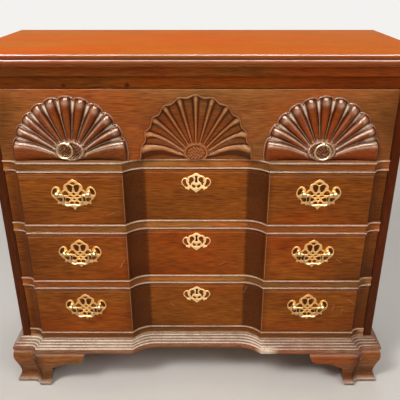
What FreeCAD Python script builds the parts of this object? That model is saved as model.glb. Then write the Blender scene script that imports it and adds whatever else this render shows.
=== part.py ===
"""Block-and-shell chest of four drawers, as a parametric document in millimetres.

+Z is up and -Y is the front. The plane of the flat end strips of the front is called the
face plane: every depth below is measured back from it, and the whole chest is then moved
so that the origin is the middle of its footprint on the floor.
"""
import FreeCAD, Part
import math
import os
import re
import Sketcher

from FreeCAD import Vector

os.makedirs("parts", exist_ok=True)
doc = FreeCAD.newDocument("BlockFrontChest")
sheet = doc.addObject("Spreadsheet::Sheet", "Sizes")

# ---------------------------------------------------------------- driving dimensions
SIZES = {
    # case
    "case_width": 876,
    "case_depth": 412,
    "side_board": 20,
    "back_board": 10,
    "foot_height": 101,
    "base_height": 28,
    "bottom_rail_height": 23,
    "blade_height": 24,
    "blade_depth": 70,
    "opening_height_1": 152.5,
    "opening_height_2": 121.5,
    "opening_height_3": 121,
    "opening_height_4": 123.5,
    "frieze_height": 23,
    "frieze_thickness": 22,
    "cornice_height": 25,
    "cornice_reach": 22,
    "cornice_foot": 3,
    "back_rail_size": 22,
    "runner_width": 20,
    "runner_height": 18,
    "dust_board": 8,
    "bottom_board": 12,
    "quirk_width": 0.8,
    "edge_bead_width": 2.6,
    # top board
    "top_thickness": 22,
    "top_overhang": 31,
    "top_back_overhang": 5,
    "top_nose_height": 8,
    "top_quirk": 3,
    "top_ovolo_setback": 9,
    # blocked outline of the front
    "block_proud": 16,
    "recess_depth": 11,
    "block_outer": 383.5,
    "block_inner": 158.5,
    "strip_start": 403,
    "recess_half": 110,
    "cove_drift": 0.8,
    "recess_drift": 0.5,
    "bead_proud": 1.2,
    "bead_height": 3.6,
    # base moulding and feet
    "base_reach": 23,
    "base_frame_width": 50,
    "base_fillet_height": 10,
    "reed_count": 4,
    "foot_bulge": 25,
    "foot_waist": 14.5,
    "foot_pad": 23,
    "foot_thickness": 6,
    "foot_length": 181,
    "foot_pad_length": 81,
    "foot_block_size": 40,
    # drawers
    "drawer_gap": 1.2,
    "drawer_top_gap": 2,
    "running_gap": 0.3,
    "front_thickness": 32,
    "drawer_back_gap": 10,
    "drawer_side": 12,
    "drawer_drop": 8,
    "drawer_bottom": 8,
    "bottom_lift": 10,
    # shells of the top drawer
    "shell_offset": 267,
    "shell_radius": 127,
    "shell_rise": 7,
    "shell_relief": 17,
    "shell_edge": 2,
    "lobe_pitch": 15.1,
    "lobes_each_side": 5,
    "shell_heel": 0.95,
    "flute_depth": 7,
    "flute_rise": 0.03,
    "rib_height": 3,
    "scallop_depth": 6,
    "boss_half_width": 30,
    "boss_half_height": 21.5,
    "boss_relief": 8,
    "sunk_shell_radius": 125,
    "sunk_shell_rise": 13,
    "sunk_shell_depth": 11,
    "sunk_boss_radius": 28,
    "sunk_flute_rise": 0.04,
    # brass
    "plate_ear": 15.45,
    "plate_height": 72,
    "plate_thickness": 1.8,
    "handle_offset": 267.5,
    "handle_drop": 44,
    "post_spacing": 67.6,
    "post_reach": 12,
    "post_ball": 5.5,
    "post_stem": 2,
    "post_collar": 4.5,
    "nut_radius": 5,
    "nut_height": 3,
    "bail_wire": 4.4,
    "bail_clearance": 0.3,
    "bail_drop": 26,
    "bail_neck": 19.5,
    "bail_bend": 5,
    "escutcheon_width": 65,
    "escutcheon_height": 46,
    "escutcheon_drop": 8.5,
    "ring_radius": 16.4,
    "ring_wire": 4,
    "ring_tilt": 33,
    "ring_eye_height": 39.5,
    "ring_reach": 12,
    "ring_ball": 4.6,
}

for row, (name, number) in enumerate(SIZES.items(), start=1):
    sheet.set(f"A{row}", name)
    sheet.set(f"B{row}", str(number))
    sheet.setAlias(f"B{row}", name)
doc.recompute()

# ---------------------------------------------------------------- places worked out from the sizes
CASE_FLOOR = "(foot_height + base_height)"
HALF_OPENING = "(case_width / 2 - side_board)"
MID_DEPTH = "((case_depth + top_back_overhang - block_proud - foot_bulge) / 2)"
DRAWER_LENGTH = "(case_depth - back_board - drawer_back_gap)"
DRAWER_COUNT = 4
DRAWERS = range(1, DRAWER_COUNT + 1)
PLATE_HALF = "(post_spacing / 2 + plate_ear)"
SIDES = {"left": -1, "right": 1}


def opening_floor(number):
    """Height of the floor of drawer opening `number`, counted from the top one."""
    levels = [CASE_FLOOR, "bottom_rail_height"]
    for lower in range(DRAWER_COUNT, number, -1):
        levels += [f"opening_height_{lower}", "blade_height"]
    return "(" + " + ".join(levels) + ")"


FRIEZE_FLOOR = f"({opening_floor(1)} + opening_height_1)"
CORNICE_FLOOR = f"({FRIEZE_FLOOR} + frieze_height)"
TOP_FLOOR = f"({CORNICE_FLOOR} + cornice_height)"


def bound(text):
    """The text with every size's name pointed at its cell of the sheet."""
    return re.sub(r"[a-z][a-z_]*\w+", lambda found: "Sizes." + found.group(), text)


def value(text):
    """The number that an expression in the sizes' names comes to."""
    return float(sheet.evalExpression(bound(text)))


# ---------------------------------------------------------------- making objects
subparts = []


def place(item, x="0", y="0", z="0"):
    """Seats an object at x, y, z, with y counted back from the face plane."""
    item.setExpression("Placement.Base.x", bound(x))
    item.setExpression("Placement.Base.y", bound(f"{y} - {MID_DEPTH}"))
    item.setExpression("Placement.Base.z", bound(z))
    return item


def listed(item, label):
    """Names an object as a sub-part of the chest."""
    item.Label = label
    subparts.append(item)
    return item


def board(name, length, depth, height, x, y, z):
    """A rectangular board with its lowest corner at x, y, z."""
    box = doc.addObject("Part::Box", name)
    box.setExpression("Length", bound(length))
    box.setExpression("Width", bound(depth))
    box.setExpression("Height", bound(height))
    return place(box, x, y, z)


def group(label, items):
    """Several separate solids of one kind as one sub-part."""
    compound = doc.addObject("Part::Compound", label)
    compound.Links = items
    return listed(compound, label)


def shaped(label, shape):
    """A sub-part whose shape is worked out below from the sheet's values."""
    feature = doc.addObject("Part::Feature", label)
    feature.Shape = shape
    return listed(place(feature), label)


def box_between(low, high):
    """The rectangular block between two opposite corners."""
    return Part.makeBox(*(high - low), low)


def mirrored(shape, side):
    """The shape as it is on the right, or its mirror image on the left."""
    return shape if side > 0 else shape.mirror(Vector(0, 0, 0), Vector(1, 0, 0))


# ---------------------------------------------------------------- blocked outline
def line(start, end):
    """A straight edge."""
    return Part.LineSegment(start, end).toShape()


def cove(flat, arris):
    """A hollow arc that leaves the point `flat` along X and ends at the point `arris`."""
    width = abs(arris.x - flat.x)
    depth = flat.y - arris.y
    radius = (width ** 2 + depth ** 2) / (2 * depth)
    centre = Vector(flat.x, flat.y - radius, flat.z)
    turn = math.asin(width / radius) / 2
    towards = math.copysign(1, arris.x - flat.x)
    middle = centre + Vector(towards * radius * math.sin(turn), radius * math.cos(turn), 0)
    return Part.Arc(flat, middle, arris).toShape()


def half_front(out, height):
    """Corner points of the right half of the front, `out` beyond the drawers' surface."""
    block = value("block_proud") + out
    drift = value("cove_drift") * out
    recess = value("recess_depth") - out
    return [
        Vector(0, recess, height),
        Vector(value("recess_half") - value("recess_drift") * out, recess, height),
        Vector(value("block_inner"), -block, height),
        Vector(value("block_outer") + drift, -block, height),
        Vector(value("strip_start") + drift, -out, height),
    ]


def blocked_edges(out, height, end):
    """Edges of the front from the left end to the right end, blocks and coves included."""
    recess, cove_in, arris_in, arris_out, strip = half_front(out, height)
    right = [
        line(recess, cove_in),
        cove(cove_in, arris_in),
        line(arris_in, arris_out),
        cove(strip, arris_out),
        line(strip, end),
    ]
    left = [edge.mirror(Vector(0, 0, 0), Vector(1, 0, 0)) for edge in right]
    return left + right


def slab(edges, outline, height):
    """The slab over a face closed by `edges` and by straight lines through `outline`."""
    lines = [line(start, end) for start, end in zip(outline, outline[1:])]
    wire = Part.Wire(Part.__sortEdges__(edges + lines))
    return Part.Face(wire).extrude(Vector(0, 0, height))


def blocked_slab(out, back, floor, height, half_width):
    """A slab with a blocked front and a flat back, `half_width` to each side."""
    end = Vector(half_width, -out, floor)
    behind = Vector(half_width, back, floor)
    across = [end, behind, Vector(-behind.x, back, floor), Vector(-end.x, -out, floor)]
    return slab(blocked_edges(out, floor, end), across, height)


def beaded_blade(height, floor):
    """A rail with a blocked front that has a bead along its top and bottom edges."""
    half = value(HALF_OPENING)
    bead = value("bead_height")
    proud = value("bead_proud")
    rail = blocked_slab(0, value("blade_depth"), floor, height, half)
    for bead_floor in (floor, floor + height - bead):
        rail = rail.fuse(blocked_slab(proud, value("recess_depth") + proud, bead_floor, bead, half))
    return rail.removeSplitter()


# ---------------------------------------------------------------- case
def side_boards():
    """Two boards, each with a rabbet for the back and a fine bead along its front inner edge."""
    quirk_end = "(side_board - edge_bead_width)"
    quirk = f"({quirk_end} - quirk_width)"
    rabbet = "(side_board / 2)"
    back = "(case_depth - back_board)"
    section = [("0", "0"), (quirk, "0"), (quirk, "quirk_width"), (quirk_end, "quirk_width"),
               (quirk_end, "0"), ("side_board", "0"), ("side_board", back), (rabbet, back),
               (rabbet, "case_depth"), ("0", "case_depth")]
    for name, side in SIDES.items():
        body = doc.addObject("PartDesign::Body", f"side_{name}")
        sketch = body.newObject("Sketcher::SketchObject", f"side_section_{name}")
        plane = [item for item in body.Origin.OriginFeatures if item.Role == "XY_Plane"][0]
        sketch.AttachmentSupport = [(plane, "")]
        sketch.MapMode = "FlatFace"
        corners = [Vector(-side * value(x), value(y), 0) for x, y in section]
        for start, end in zip(corners, corners[1:] + corners[:1]):
            sketch.addGeometry(Part.LineSegment(start, end))
        for index, (x, y) in enumerate(section):
            following = (index + 1) % len(section)
            sketch.addConstraint(Sketcher.Constraint("Coincident", index, 2, following, 1))
            for kind, text in (("DistanceX", f"{-side} * {x}"), ("DistanceY", y)):
                number = sketch.addConstraint(Sketcher.Constraint(kind, -1, 1, index, 1, value(text)))
                sketch.setExpression(f"Constraints[{number}]", bound(text))
        pad = body.newObject("PartDesign::Pad", f"side_pad_{name}")
        pad.Profile = sketch
        pad.setExpression("Length", bound(f"{TOP_FLOOR} - {CASE_FLOOR}"))
        place(body, f"{side} * case_width / 2", "0", CASE_FLOOR)
        listed(body, f"side_{name}")


def case_boards():
    """The back, the top rails, the floor, the runners and the dust boards of the case."""
    clear = f"2 * {HALF_OPENING}"
    inside = "(case_depth - back_board)"
    left = f"-{HALF_OPENING}"
    case_height = f"{TOP_FLOOR} - {CASE_FLOOR}"
    listed(board("back_panel", "case_width - side_board", "back_board", case_height,
                 "side_board / 2 - case_width / 2", inside, CASE_FLOOR), "back_panel")
    listed(board("top_rail", clear, "frieze_thickness", "frieze_height + cornice_height",
                 left, "0", FRIEZE_FLOOR), "top_rail")
    listed(board("rear_top_rail", clear, "back_rail_size", "back_rail_size",
                 left, f"{inside} - back_rail_size", f"{TOP_FLOOR} - back_rail_size"), "rear_top_rail")
    behind = f"{inside} - blade_depth"
    listed(board("case_bottom", clear, behind, "bottom_board",
                 left, "blade_depth", CASE_FLOOR), "case_bottom")
    runners = []
    panels = []
    for number in DRAWERS:
        level = opening_floor(number)
        lowest = number == DRAWER_COUNT
        height = "(bottom_rail_height - bottom_board)" if lowest else "runner_height"
        for name, x in (("left", left), ("right", f"{HALF_OPENING} - runner_width")):
            runners.append(board(f"runner_{name}_{number}", "runner_width", behind, height,
                                 x, "blade_depth", f"{level} - {height}"))
        if not lowest:
            panels.append(board(f"dust_board_{number}", f"{clear} - 2 * runner_width", behind, "dust_board",
                                f"{left} + runner_width", "blade_depth",
                                f"{level} - runner_height / 2 - dust_board / 2"))
    group("drawer_runners", runners)
    group("dust_boards", panels)


def blades():
    """The three dividers between the drawers and the rail below them."""
    for number in DRAWERS[:-1]:
        height = value("blade_height")
        shaped(f"blade_{number}", beaded_blade(height, value(opening_floor(number)) - height))
    shaped("bottom_rail", beaded_blade(value("bottom_rail_height"), value(CASE_FLOOR)))


def prism(profile, along):
    """The solid swept straight along a vector by a closed profile of edges."""
    return Part.Face(Part.Wire(profile)).extrude(along)


def half_moulding(points, arcs):
    """Edges through points in order; the pairs in `arcs` bulge through the point given."""
    edges = []
    for index, (start, end) in enumerate(zip(points, points[1:])):
        middle = arcs.get(index)
        edges.append(Part.Arc(start, middle, end).toShape() if middle else line(start, end))
    return edges


def top_profile(length, to_vector):
    """The section of the top board's edge: a round nose over a wider ovolo.

    to_vector turns (distance in from the edge, height) into a point.
    """
    low = value(TOP_FLOOR)
    high = low + value("top_thickness")
    nose = value("top_nose_height") / 2
    quirk = value("top_quirk")
    setback = value("top_ovolo_setback")
    shoulder = high - 2 * nose
    outline = [(nose, high), (quirk, shoulder), (quirk + 1, shoulder - 1), (setback, low),
               (length, low), (length, high), (nose, high)]
    bulges = {0: to_vector(0, high - nose),
              2: to_vector(quirk, (shoulder + low) / 2 + 1)}
    return half_moulding([to_vector(*place_in) for place_in in outline], bulges)


def top_board():
    """The top: where a board moulded along its front and one moulded at both ends meet."""
    half = value("case_width / 2 + top_overhang")
    front = -value("top_overhang")
    depth = value("case_depth + top_back_overhang + top_overhang")
    across = Vector(2 * half, 0, 0)
    along = Vector(0, depth, 0)
    lengthwise = prism(top_profile(depth, lambda inward, z: Vector(-half, front + inward, z)), across)
    right = prism(top_profile(half, lambda inward, z: Vector(half - inward, front, z)), along)
    crosswise = right.fuse(mirrored(right, -1)).removeSplitter()
    shaped("top_board", lengthwise.common(crosswise))


def cornice():
    """A cove moulding under the top, mitred at both front corners."""
    floor = value(CORNICE_FLOOR)
    high = value(TOP_FLOOR)
    reach = value("cornice_reach")
    foot = value("cornice_foot")
    half = value("case_width / 2")
    depth = value("case_depth")

    def section(to_vector):
        hollow = to_vector(foot + (reach - foot) * 0.3, floor + (high - floor) * 0.62)
        points = [to_vector(0, floor), to_vector(foot, floor), to_vector(foot, floor + foot),
                  to_vector(reach, high - foot), to_vector(reach, high), to_vector(0, high),
                  to_vector(0, floor)]
        return half_moulding(points, {2: hollow})

    wide = half + reach
    front = prism(section(lambda out, z: Vector(-wide, -out, z)), Vector(2 * wide, 0, 0))
    side = prism(section(lambda out, z: Vector(half + out, -reach, z)), Vector(0, depth + reach, 0))
    for sign in (1, -1):
        corner = [Vector(sign * half, 0, floor), Vector(sign * wide, -reach, floor),
                  Vector(sign * wide, 0, floor), Vector(sign * half, 0, floor)]
        wedge = slab([], corner, high - floor)
        front = front.cut(wedge)
    miter = [Vector(half, 0, floor), Vector(wide, -reach, floor), Vector(half, -reach, floor),
             Vector(half, 0, floor)]
    side = side.cut(slab([], miter, high - floor))
    shaped("cornice_front", front)
    for name, sign in SIDES.items():
        shaped(f"cornice_{name}", mirrored(side, sign))


# ---------------------------------------------------------------- base moulding
def reed_steps():
    """(floor, height, reach) of each layer of the base moulding, from the bottom up."""
    floor = value("foot_height")
    fillet = value("base_fillet_height")
    count = int(value("reed_count"))
    reed = (value("base_height") - fillet) / count
    reach = value("base_reach")
    layers = [(floor, fillet, reach)]
    for index in range(count):
        layers.append((floor + fillet + index * reed, reed, reach * (1 - (index + 0.6) / count)))
    return layers


def base_moulding():
    """A mitred frame of stepped reeds under the case, blocked along the front."""
    half = value("case_width / 2")
    width = value("base_frame_width")
    depth = value("case_depth")
    front_layers = []
    side_layers = []
    for floor, height, reach in reed_steps():
        end = Vector(half + reach, -reach, floor)
        inner = Vector(half - width, width, floor)
        across = [end, inner, Vector(-inner.x, inner.y, floor), Vector(-end.x, end.y, floor)]
        front_layers.append(slab(blocked_edges(reach, floor, end), across, height))
        side = [end, Vector(end.x, depth, floor), Vector(inner.x, depth, floor), inner, end]
        side_layers.append(slab([], side, height))
    shaped("base_molding_front", front_layers[0].multiFuse(front_layers[1:]).removeSplitter())
    right = side_layers[0].multiFuse(side_layers[1:]).removeSplitter()
    for name, sign in SIDES.items():
        shaped(f"base_molding_{name}", mirrored(right, sign))


# ---------------------------------------------------------------- feet
def ogee():
    """(height, reach) of the feet's surface, from the floor up: pad, waist, bulge and neck."""
    high = value("foot_height")
    bulge = value("foot_bulge")
    return [
        (0, value("foot_pad") - 1),
        (0.07 * high, value("foot_pad")),
        (0.14 * high, (value("foot_pad") + value("foot_waist")) / 2),
        (0.3 * high, value("foot_waist")),
        (0.55 * high, (value("foot_waist") + bulge) / 2),
        (0.8 * high, bulge),
        (0.92 * high, bulge - 1.5),
        (high, bulge - 3),
    ]


def lofted(section):
    """The solid through the sections that the ogee gives at each of its heights."""
    return Part.makeLoft([Part.Wire(section(reach, height)) for height, reach in ogee()], True, True)


def bracket_gap(run):
    """Edges of the space under a bracket, in (run from the corner, height) from its end inwards.

    The lower edge steps up from the pad in two small cusps and dies into the bracket's end.
    """
    high = value("foot_height")
    end = value("foot_length")
    pad = value("foot_pad_length")
    span = end - pad
    stops = [(pad, 0), (pad + 0.1 * span, 0.25 * high), (pad + 0.15 * span, 0.5 * high),
             (pad + 0.17 * span, 0.53 * high), (pad + 0.36 * span, 0.62 * high),
             (pad + 0.5 * span, 0.69 * high), (pad + 0.86 * span, 0.72 * high),
             (pad + 0.96 * span, 0.84 * high), (end, high), (end + 1, high), (end + 1, 0), (pad, 0)]
    points = [run(along, height) for along, height in stops]
    edges = half_moulding(points, {})
    edges[3] = smooth([points[3], run(pad + 0.27 * span, 0.55 * high), points[4]])
    edges[6] = smooth([points[6], run(pad + 0.92 * span, 0.76 * high), points[7]])
    return edges


def front_bracket(reach, height):
    """Section of a front foot's blocked face at one height, mitred at the corner."""
    half = value("case_width / 2")
    back = value("foot_thickness")
    _, _, _, arris, strip = half_front(reach, height)
    inner = half + value("base_reach - foot_length")
    points = [strip, Vector(half + reach, -reach, height), Vector(half - back, back, height),
              Vector(inner, back, height), Vector(inner, arris.y, height), arris]
    return half_moulding(points, {}) + [cove(strip, arris)]


def side_bracket(reach, height, mitre, start, end):
    """Section of a foot's side face at one height, between two depths, mitred in front or not."""
    half = value("case_width / 2")
    back = value("foot_thickness")
    near = Vector(half + reach, -reach if mitre else start, height)
    inner = Vector(half - back, back if mitre else start, height)
    points = [near, Vector(near.x, end, height), Vector(inner.x, end, height), inner, near]
    return half_moulding(points, {})


def feet():
    """Four ogee bracket feet, each two brackets and a glue block; the front ones are mitred."""
    half = value("case_width / 2")
    high = value("foot_height")
    depth = value("case_depth")
    back = value("foot_thickness")
    reach = value("base_reach")
    length = value("foot_length")
    block = value("foot_block_size")
    deep = Vector(0, depth, 0)
    wide = Vector(half, 0, 0)

    face = lofted(front_bracket)
    under = prism(bracket_gap(lambda run, z: Vector(half + reach - run, -deep.y / 2, z)), deep)
    front_face = face.cut(under)
    side = lofted(lambda out, z: side_bracket(out, z, True, 0, length - reach))
    under = prism(bracket_gap(lambda run, z: Vector(half - wide.x / 2, run - reach, z)), wide)
    front_side = side.cut(under)
    corner = Vector(half - back, back, 0)
    glue = box_between(corner + Vector(-block, 0, back), corner + Vector(0, block, high))
    front_foot = Part.makeCompound([front_face.fuse(front_side), glue])

    rear = lofted(lambda out, z: side_bracket(out, z, False, depth + reach - length, depth))
    under = prism(bracket_gap(lambda run, z: Vector(half - wide.x / 2, depth + reach - run, z)), wide)
    rear_side = rear.cut(under)
    back_face = box_between(Vector(half + reach - length, depth - 2 * back, 0),
                            Vector(half - back, depth, high))
    under = prism(bracket_gap(lambda run, z: Vector(half + reach - run, depth - deep.y / 2, z)), deep)
    back_face = back_face.cut(under)
    corner = Vector(half - back, depth - 2 * back, 0)
    glue = box_between(corner + Vector(-block, -block, back), corner + Vector(0, 0, high))
    rear_foot = Part.makeCompound([rear_side, back_face, glue])

    for name, sign in SIDES.items():
        shaped(f"foot_front_{name}", mirrored(front_foot, sign))
        shaped(f"foot_rear_{name}", mirrored(rear_foot, sign))


# ---------------------------------------------------------------- drawers
def drawer_box(number):
    """The sides, back and bottom of a drawer, behind its front."""
    level = f"{opening_floor(number)} + running_gap"
    height = f"(opening_height_{number} - drawer_top_gap - running_gap - drawer_drop)"
    half = f"({HALF_OPENING} - drawer_gap)"
    length = f"({DRAWER_LENGTH} - front_thickness)"
    walls = []
    for name, x in (("left", f"-{half}"), ("right", f"{half} - drawer_side")):
        walls.append(board(f"drawer_{number}_{name}_side", "drawer_side", length, height,
                           x, "front_thickness", level))
    group(f"drawer_{number}_sides", walls)
    between = f"2 * ({half} - drawer_side)"
    left = f"drawer_side - {half}"
    back = f"drawer_{number}_back"
    listed(board(back, between, "drawer_side", height,
                 left, f"{DRAWER_LENGTH} - drawer_side", level), back)
    bottom = f"drawer_{number}_bottom"
    listed(board(bottom, between, f"{length} - drawer_side", "drawer_bottom",
                 left, "front_thickness", f"{level} + bottom_lift"), bottom)


def front_height(number):
    """Height of a drawer's front: its opening less the gaps above and below."""
    return value(f"opening_height_{number} - drawer_top_gap - running_gap")


def front_floor(number):
    """Height of a drawer front's lower edge."""
    return value(f"{opening_floor(number)} + running_gap")


def blocked_front(number):
    """The front of a lower drawer: two blocks, a recess between them and an end strip each side."""
    half = value(f"{HALF_OPENING} - drawer_gap")
    front = blocked_slab(0, value("front_thickness"), front_floor(number), front_height(number), half)
    for x in post_places():
        front = front.cut(shank_hole(x, handle_height(number)))
    shaped(f"drawer_{number}_front", front)


# ---------------------------------------------------------------- shells
def polar(centre, radius, angle):
    """The point at a radius and an angle, in degrees, from a centre in an upright plane."""
    turn = math.radians(angle)
    return centre + Vector(radius * math.cos(turn), 0, radius * math.sin(turn))


def flute_angles():
    """Angles of the flutes on the right of a shell, from the upright one down."""
    pitch = value("lobe_pitch")
    half_lobes = int(value("lobes_each_side"))
    return [90 - pitch * (index + 0.5) for index in range(half_lobes)]


def scallops(centre, radius, base, thickness):
    """A slab whose rim is one arc for each lobe and whose foot is straight, at height `base`.

    Its back lies `centre` deep and it stands `thickness` in front of that.
    """
    valley = radius - value("scallop_depth")
    angles = flute_angles()
    heel = Vector(centre.x + value("shell_heel") * radius, centre.y, base)
    right = [polar(centre, valley, angle) for angle in angles] + [heel]
    crowns = [polar(centre, radius, (upper + lower) / 2) for upper, lower in zip(angles, angles[1:])]
    crowns.append(polar(centre, radius, angles[-1] / 2))
    edges = [Part.Arc(start, crown, end).toShape() for start, crown, end in zip(right, crowns, right[1:])]
    mirror = (Vector(centre.x, 0, 0), Vector(1, 0, 0))
    edges += [edge.mirror(*mirror) for edge in edges]
    top = Vector(2 * centre.x - right[0].x, right[0].y, right[0].z)
    foot = Vector(2 * centre.x - heel.x, heel.y, heel.z)
    edges.append(Part.Arc(right[0], polar(centre, radius, 90), top).toShape())
    edges.append(line(heel, foot))
    wire = Part.Wire(Part.__sortEdges__(edges))
    return Part.Face(wire).extrude(Vector(0, -thickness, 0))


def turned(centre, radius, profile):
    """The solid turned about the Y axis through `centre`, from (share of radius, height) points."""
    points = [centre + Vector(radius * share, -height, 0) for share, height in profile]
    rim = Vector(points[-1].x, centre.y, centre.z)
    edges = [smooth(points), line(points[-1], rim), line(rim, centre), line(centre, points[0])]
    return Part.Face(Part.Wire(edges)).revolve(centre, Vector(0, 1, 0), 360)


def flutes(centre, radius, inner, depth, height, rise):
    """Tapered rods along the flutes, from `inner` out to the rim, `height` in front of the back."""
    rods = []
    for angle in flute_angles():
        for turn in (angle, 180 - angle):
            direction = polar(Vector(0, 0, 0), 1, turn)
            start = centre + direction * inner - Vector(0, height, 0)
            rod = Part.makeCone(depth / 4, depth, radius - inner, start, direction + Vector(0, -rise, 0))
            rods.append(rod)
    return rods


def raised_shell(base):
    """An applied shell on the point `base`: lobes that swell to their tips, and an oval boss."""
    relief = value("shell_relief")
    radius = value("shell_radius")
    half_width = value("boss_half_width")
    half_height = value("boss_half_height")
    boss_relief = value("boss_relief")
    centre = base + Vector(0, 0, value("shell_rise"))
    edge = value("shell_edge")
    dome = turned(centre, radius, [(0, boss_relief - 3), (0.25, boss_relief - 1.5), (0.4, boss_relief + 3),
                                   (0.6, relief - 2), (0.82, relief), (0.94, relief - 4), (1, edge)])
    lobes = dome.common(scallops(centre, radius, base.z, relief))
    lobes = lobes.cut(flutes(centre, radius, 0.7 * half_width, value("flute_depth"), relief - 4,
                            value("flute_rise")))
    front = base + Vector(0, -boss_relief, half_height)
    behind = Vector(0, boss_relief, 0)
    oval = Part.Ellipse(front + Vector(half_width, 0, 0), front + Vector(0, 0, half_height), front)
    boss = Part.Face(Part.Wire(oval.toShape())).extrude(behind)
    return lobes.fuse(boss)


def sunk_shell(base):
    """The hollow of the carved shell that stands on the point `base`."""
    depth = value("sunk_shell_depth")
    radius = value("sunk_shell_radius")
    boss = value("sunk_boss_radius")
    rib = value("rib_height")
    floor = base + Vector(0, depth + rib, value("sunk_shell_rise"))
    dish = turned(floor, radius, [(0, rib), (0.5, rib + 1), (0.8, rib + depth / 4), (1, rib + 0.6 * depth)])
    hollow = scallops(floor, radius, base.z, 3 * depth).cut(dish)
    hollow = hollow.cut(flutes(floor, radius, boss, rib, rib, value("sunk_flute_rise")))
    return hollow.cut(Part.makeCylinder(boss, 2 * depth, base, Vector(0, 1, 0)))


def top_drawer_front():
    """The flat front of the top drawer, with its carved shell."""
    half = value(f"{HALF_OPENING} - drawer_gap")
    floor = front_floor(1)
    front = box_between(Vector(-half, 0, floor),
                        Vector(half, value("front_thickness"), floor + front_height(1)))
    shaped("drawer_1_front", front.cut(sunk_shell(Vector(0, 0, floor))))


def applied_shells():
    """The two raised shells of the top drawer."""
    right = raised_shell(Vector(value("shell_offset"), 0, front_floor(1)))
    for name, side in SIDES.items():
        shaped(f"shell_{name}", mirrored(right, side))


# ---------------------------------------------------------------- brass
def handle_height(number):
    """Height of the bail posts: a fixed drop below the top of the opening."""
    return value(f"{opening_floor(number)} + opening_height_{number} - handle_drop")


def post_places():
    """The four places across a drawer where a bail post stands."""
    offset = value("handle_offset")
    half = value("post_spacing / 2")
    return [side * offset + hand * half for side in (-1, 1) for hand in (-1, 1)]


def shank_hole(x, height):
    """A clearance hole for a post's shank, through the drawer front and the plate."""
    radius = value("post_stem + bail_clearance")
    near = value("2 * block_proud")
    through = near + value("2 * front_thickness")
    return Part.makeCylinder(radius, through, Vector(x, -near, height), Vector(0, 1, 0))


def smooth(points):
    """A smooth edge through points."""
    curve = Part.BSplineCurve()
    curve.interpolate(points)
    return curve.toShape()


def mirrored_outline(stretches, scale_x, scale_z, to_vector):
    """A closed wire from smooth stretches of the right half, as (share across, share up)."""
    edges = []
    for side in (1, -1):
        for stretch in stretches:
            edges.append(smooth([to_vector(side * x * scale_x, z * scale_z) for x, z in stretch]))
    return Part.Wire(Part.__sortEdges__(edges))


def closed_loop(points, scale_x, scale_z, side, to_vector):
    """A closed smooth wire through points, on the right or the left."""
    curve = Part.BSplineCurve()
    curve.interpolate([to_vector(side * x * scale_x, z * scale_z) for x, z in points], PeriodicFlag=True)
    return Part.Wire(curve.toShape())


# Right half of a backplate, in shares of its half width and its height, from the peak down:
# the pierced crest, the scrolled ear, the small foot and the pointed tip.
PLATE_OUTLINE = [
    [(0, 0.425), (0.1, 0.385), (0.19, 0.35), (0.25, 0.3), (0.37, 0.25), (0.42, 0.18), (0.42, 0.1),
     (0.49, 0.06), (0.55, 0.01)],
    [(0.55, 0.01), (0.58, 0.08), (0.63, 0.15), (0.73, 0.19), (0.84, 0.175), (0.94, 0.1), (0.99, 0),
     (0.96, -0.12), (0.83, -0.22), (0.73, -0.28)],
    [(0.73, -0.28), (0.76, -0.37)],
    [(0.76, -0.37), (0.68, -0.375), (0.61, -0.35)],
    [(0.61, -0.35), (0.52, -0.41), (0.43, -0.39)],
    [(0.43, -0.39), (0.32, -0.43), (0.16, -0.465), (0.08, -0.49)],
    [(0.08, -0.49), (0.05, -0.53), (0, -0.565)],
]
PLATE_PIERCINGS = [
    [(0.07, 0.2), (0.16, 0.225), (0.26, 0.21), (0.24, 0.13), (0.18, 0.05), (0.11, 0.02), (0.07, 0.1)],
    [(0.24, -0.07), (0.3, 0.01), (0.37, 0.045), (0.45, -0.01), (0.52, -0.07), (0.38, -0.085)],
    [(0.07, -0.15), (0.14, -0.12), (0.23, -0.115), (0.17, -0.15)],
    [(0.18, -0.22), (0.27, -0.19), (0.36, -0.2), (0.36, -0.29), (0.26, -0.285)],
    [(0.05, -0.33), (0.1, -0.31), (0.17, -0.34), (0.14, -0.385), (0.06, -0.39)],
    [(0.76, 0.11), (0.84, 0.1), (0.91, 0.02), (0.9, -0.06), (0.83, -0.05), (0.78, 0.02)],
    [(0.55, -0.19), (0.65, -0.175), (0.75, -0.19), (0.69, -0.26), (0.61, -0.3), (0.55, -0.27)],
    [(0.41, -0.17), (0.48, -0.17), (0.485, -0.28), (0.42, -0.28)],
]
PLATE_MIDDLES = [
    [(0, 0.325), (0.1, 0.285), (0, 0.245), (-0.1, 0.285)],
    [(0, -0.02), (0.055, -0.05), (0, -0.08), (-0.055, -0.05)],
    [(0, -0.205), (0.04, -0.23), (0, -0.255), (-0.04, -0.23)],
]
ESCUTCHEON_OUTLINE = [
    [(0, 0), (0.1, -0.035), (0.15, -0.08)],
    [(0.15, -0.08), (0.26, -0.105), (0.31, -0.15)],
    [(0.31, -0.15), (0.42, -0.16), (0.54, -0.2), (0.62, -0.28)],
    [(0.62, -0.28), (0.74, -0.25), (0.87, -0.28), (0.98, -0.38), (1.0, -0.49), (0.94, -0.6), (0.8, -0.69),
     (0.74, -0.74)],
    [(0.74, -0.74), (0.75, -0.8), (0.66, -0.8)],
    [(0.66, -0.8), (0.59, -0.84), (0.51, -0.86), (0.45, -0.8), (0.4, -0.76)],
    [(0.4, -0.76), (0.23, -0.875), (0.1, -0.94), (0, -1)],
]
ESCUTCHEON_PIERCINGS = [
    [(0.33, -0.24), (0.44, -0.28), (0.47, -0.35), (0.45, -0.42), (0.52, -0.49), (0.46, -0.53), (0.41, -0.63),
     (0.34, -0.5), (0.22, -0.42), (0.18, -0.345), (0.22, -0.27)],
    [(0.74, -0.36), (0.84, -0.38), (0.9, -0.47), (0.82, -0.6), (0.66, -0.69), (0.59, -0.64), (0.68, -0.56),
     (0.74, -0.47)],
    [(0.23, -0.61), (0.25, -0.67), (0.17, -0.74), (0.09, -0.73), (0.1, -0.67)],
]


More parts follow.
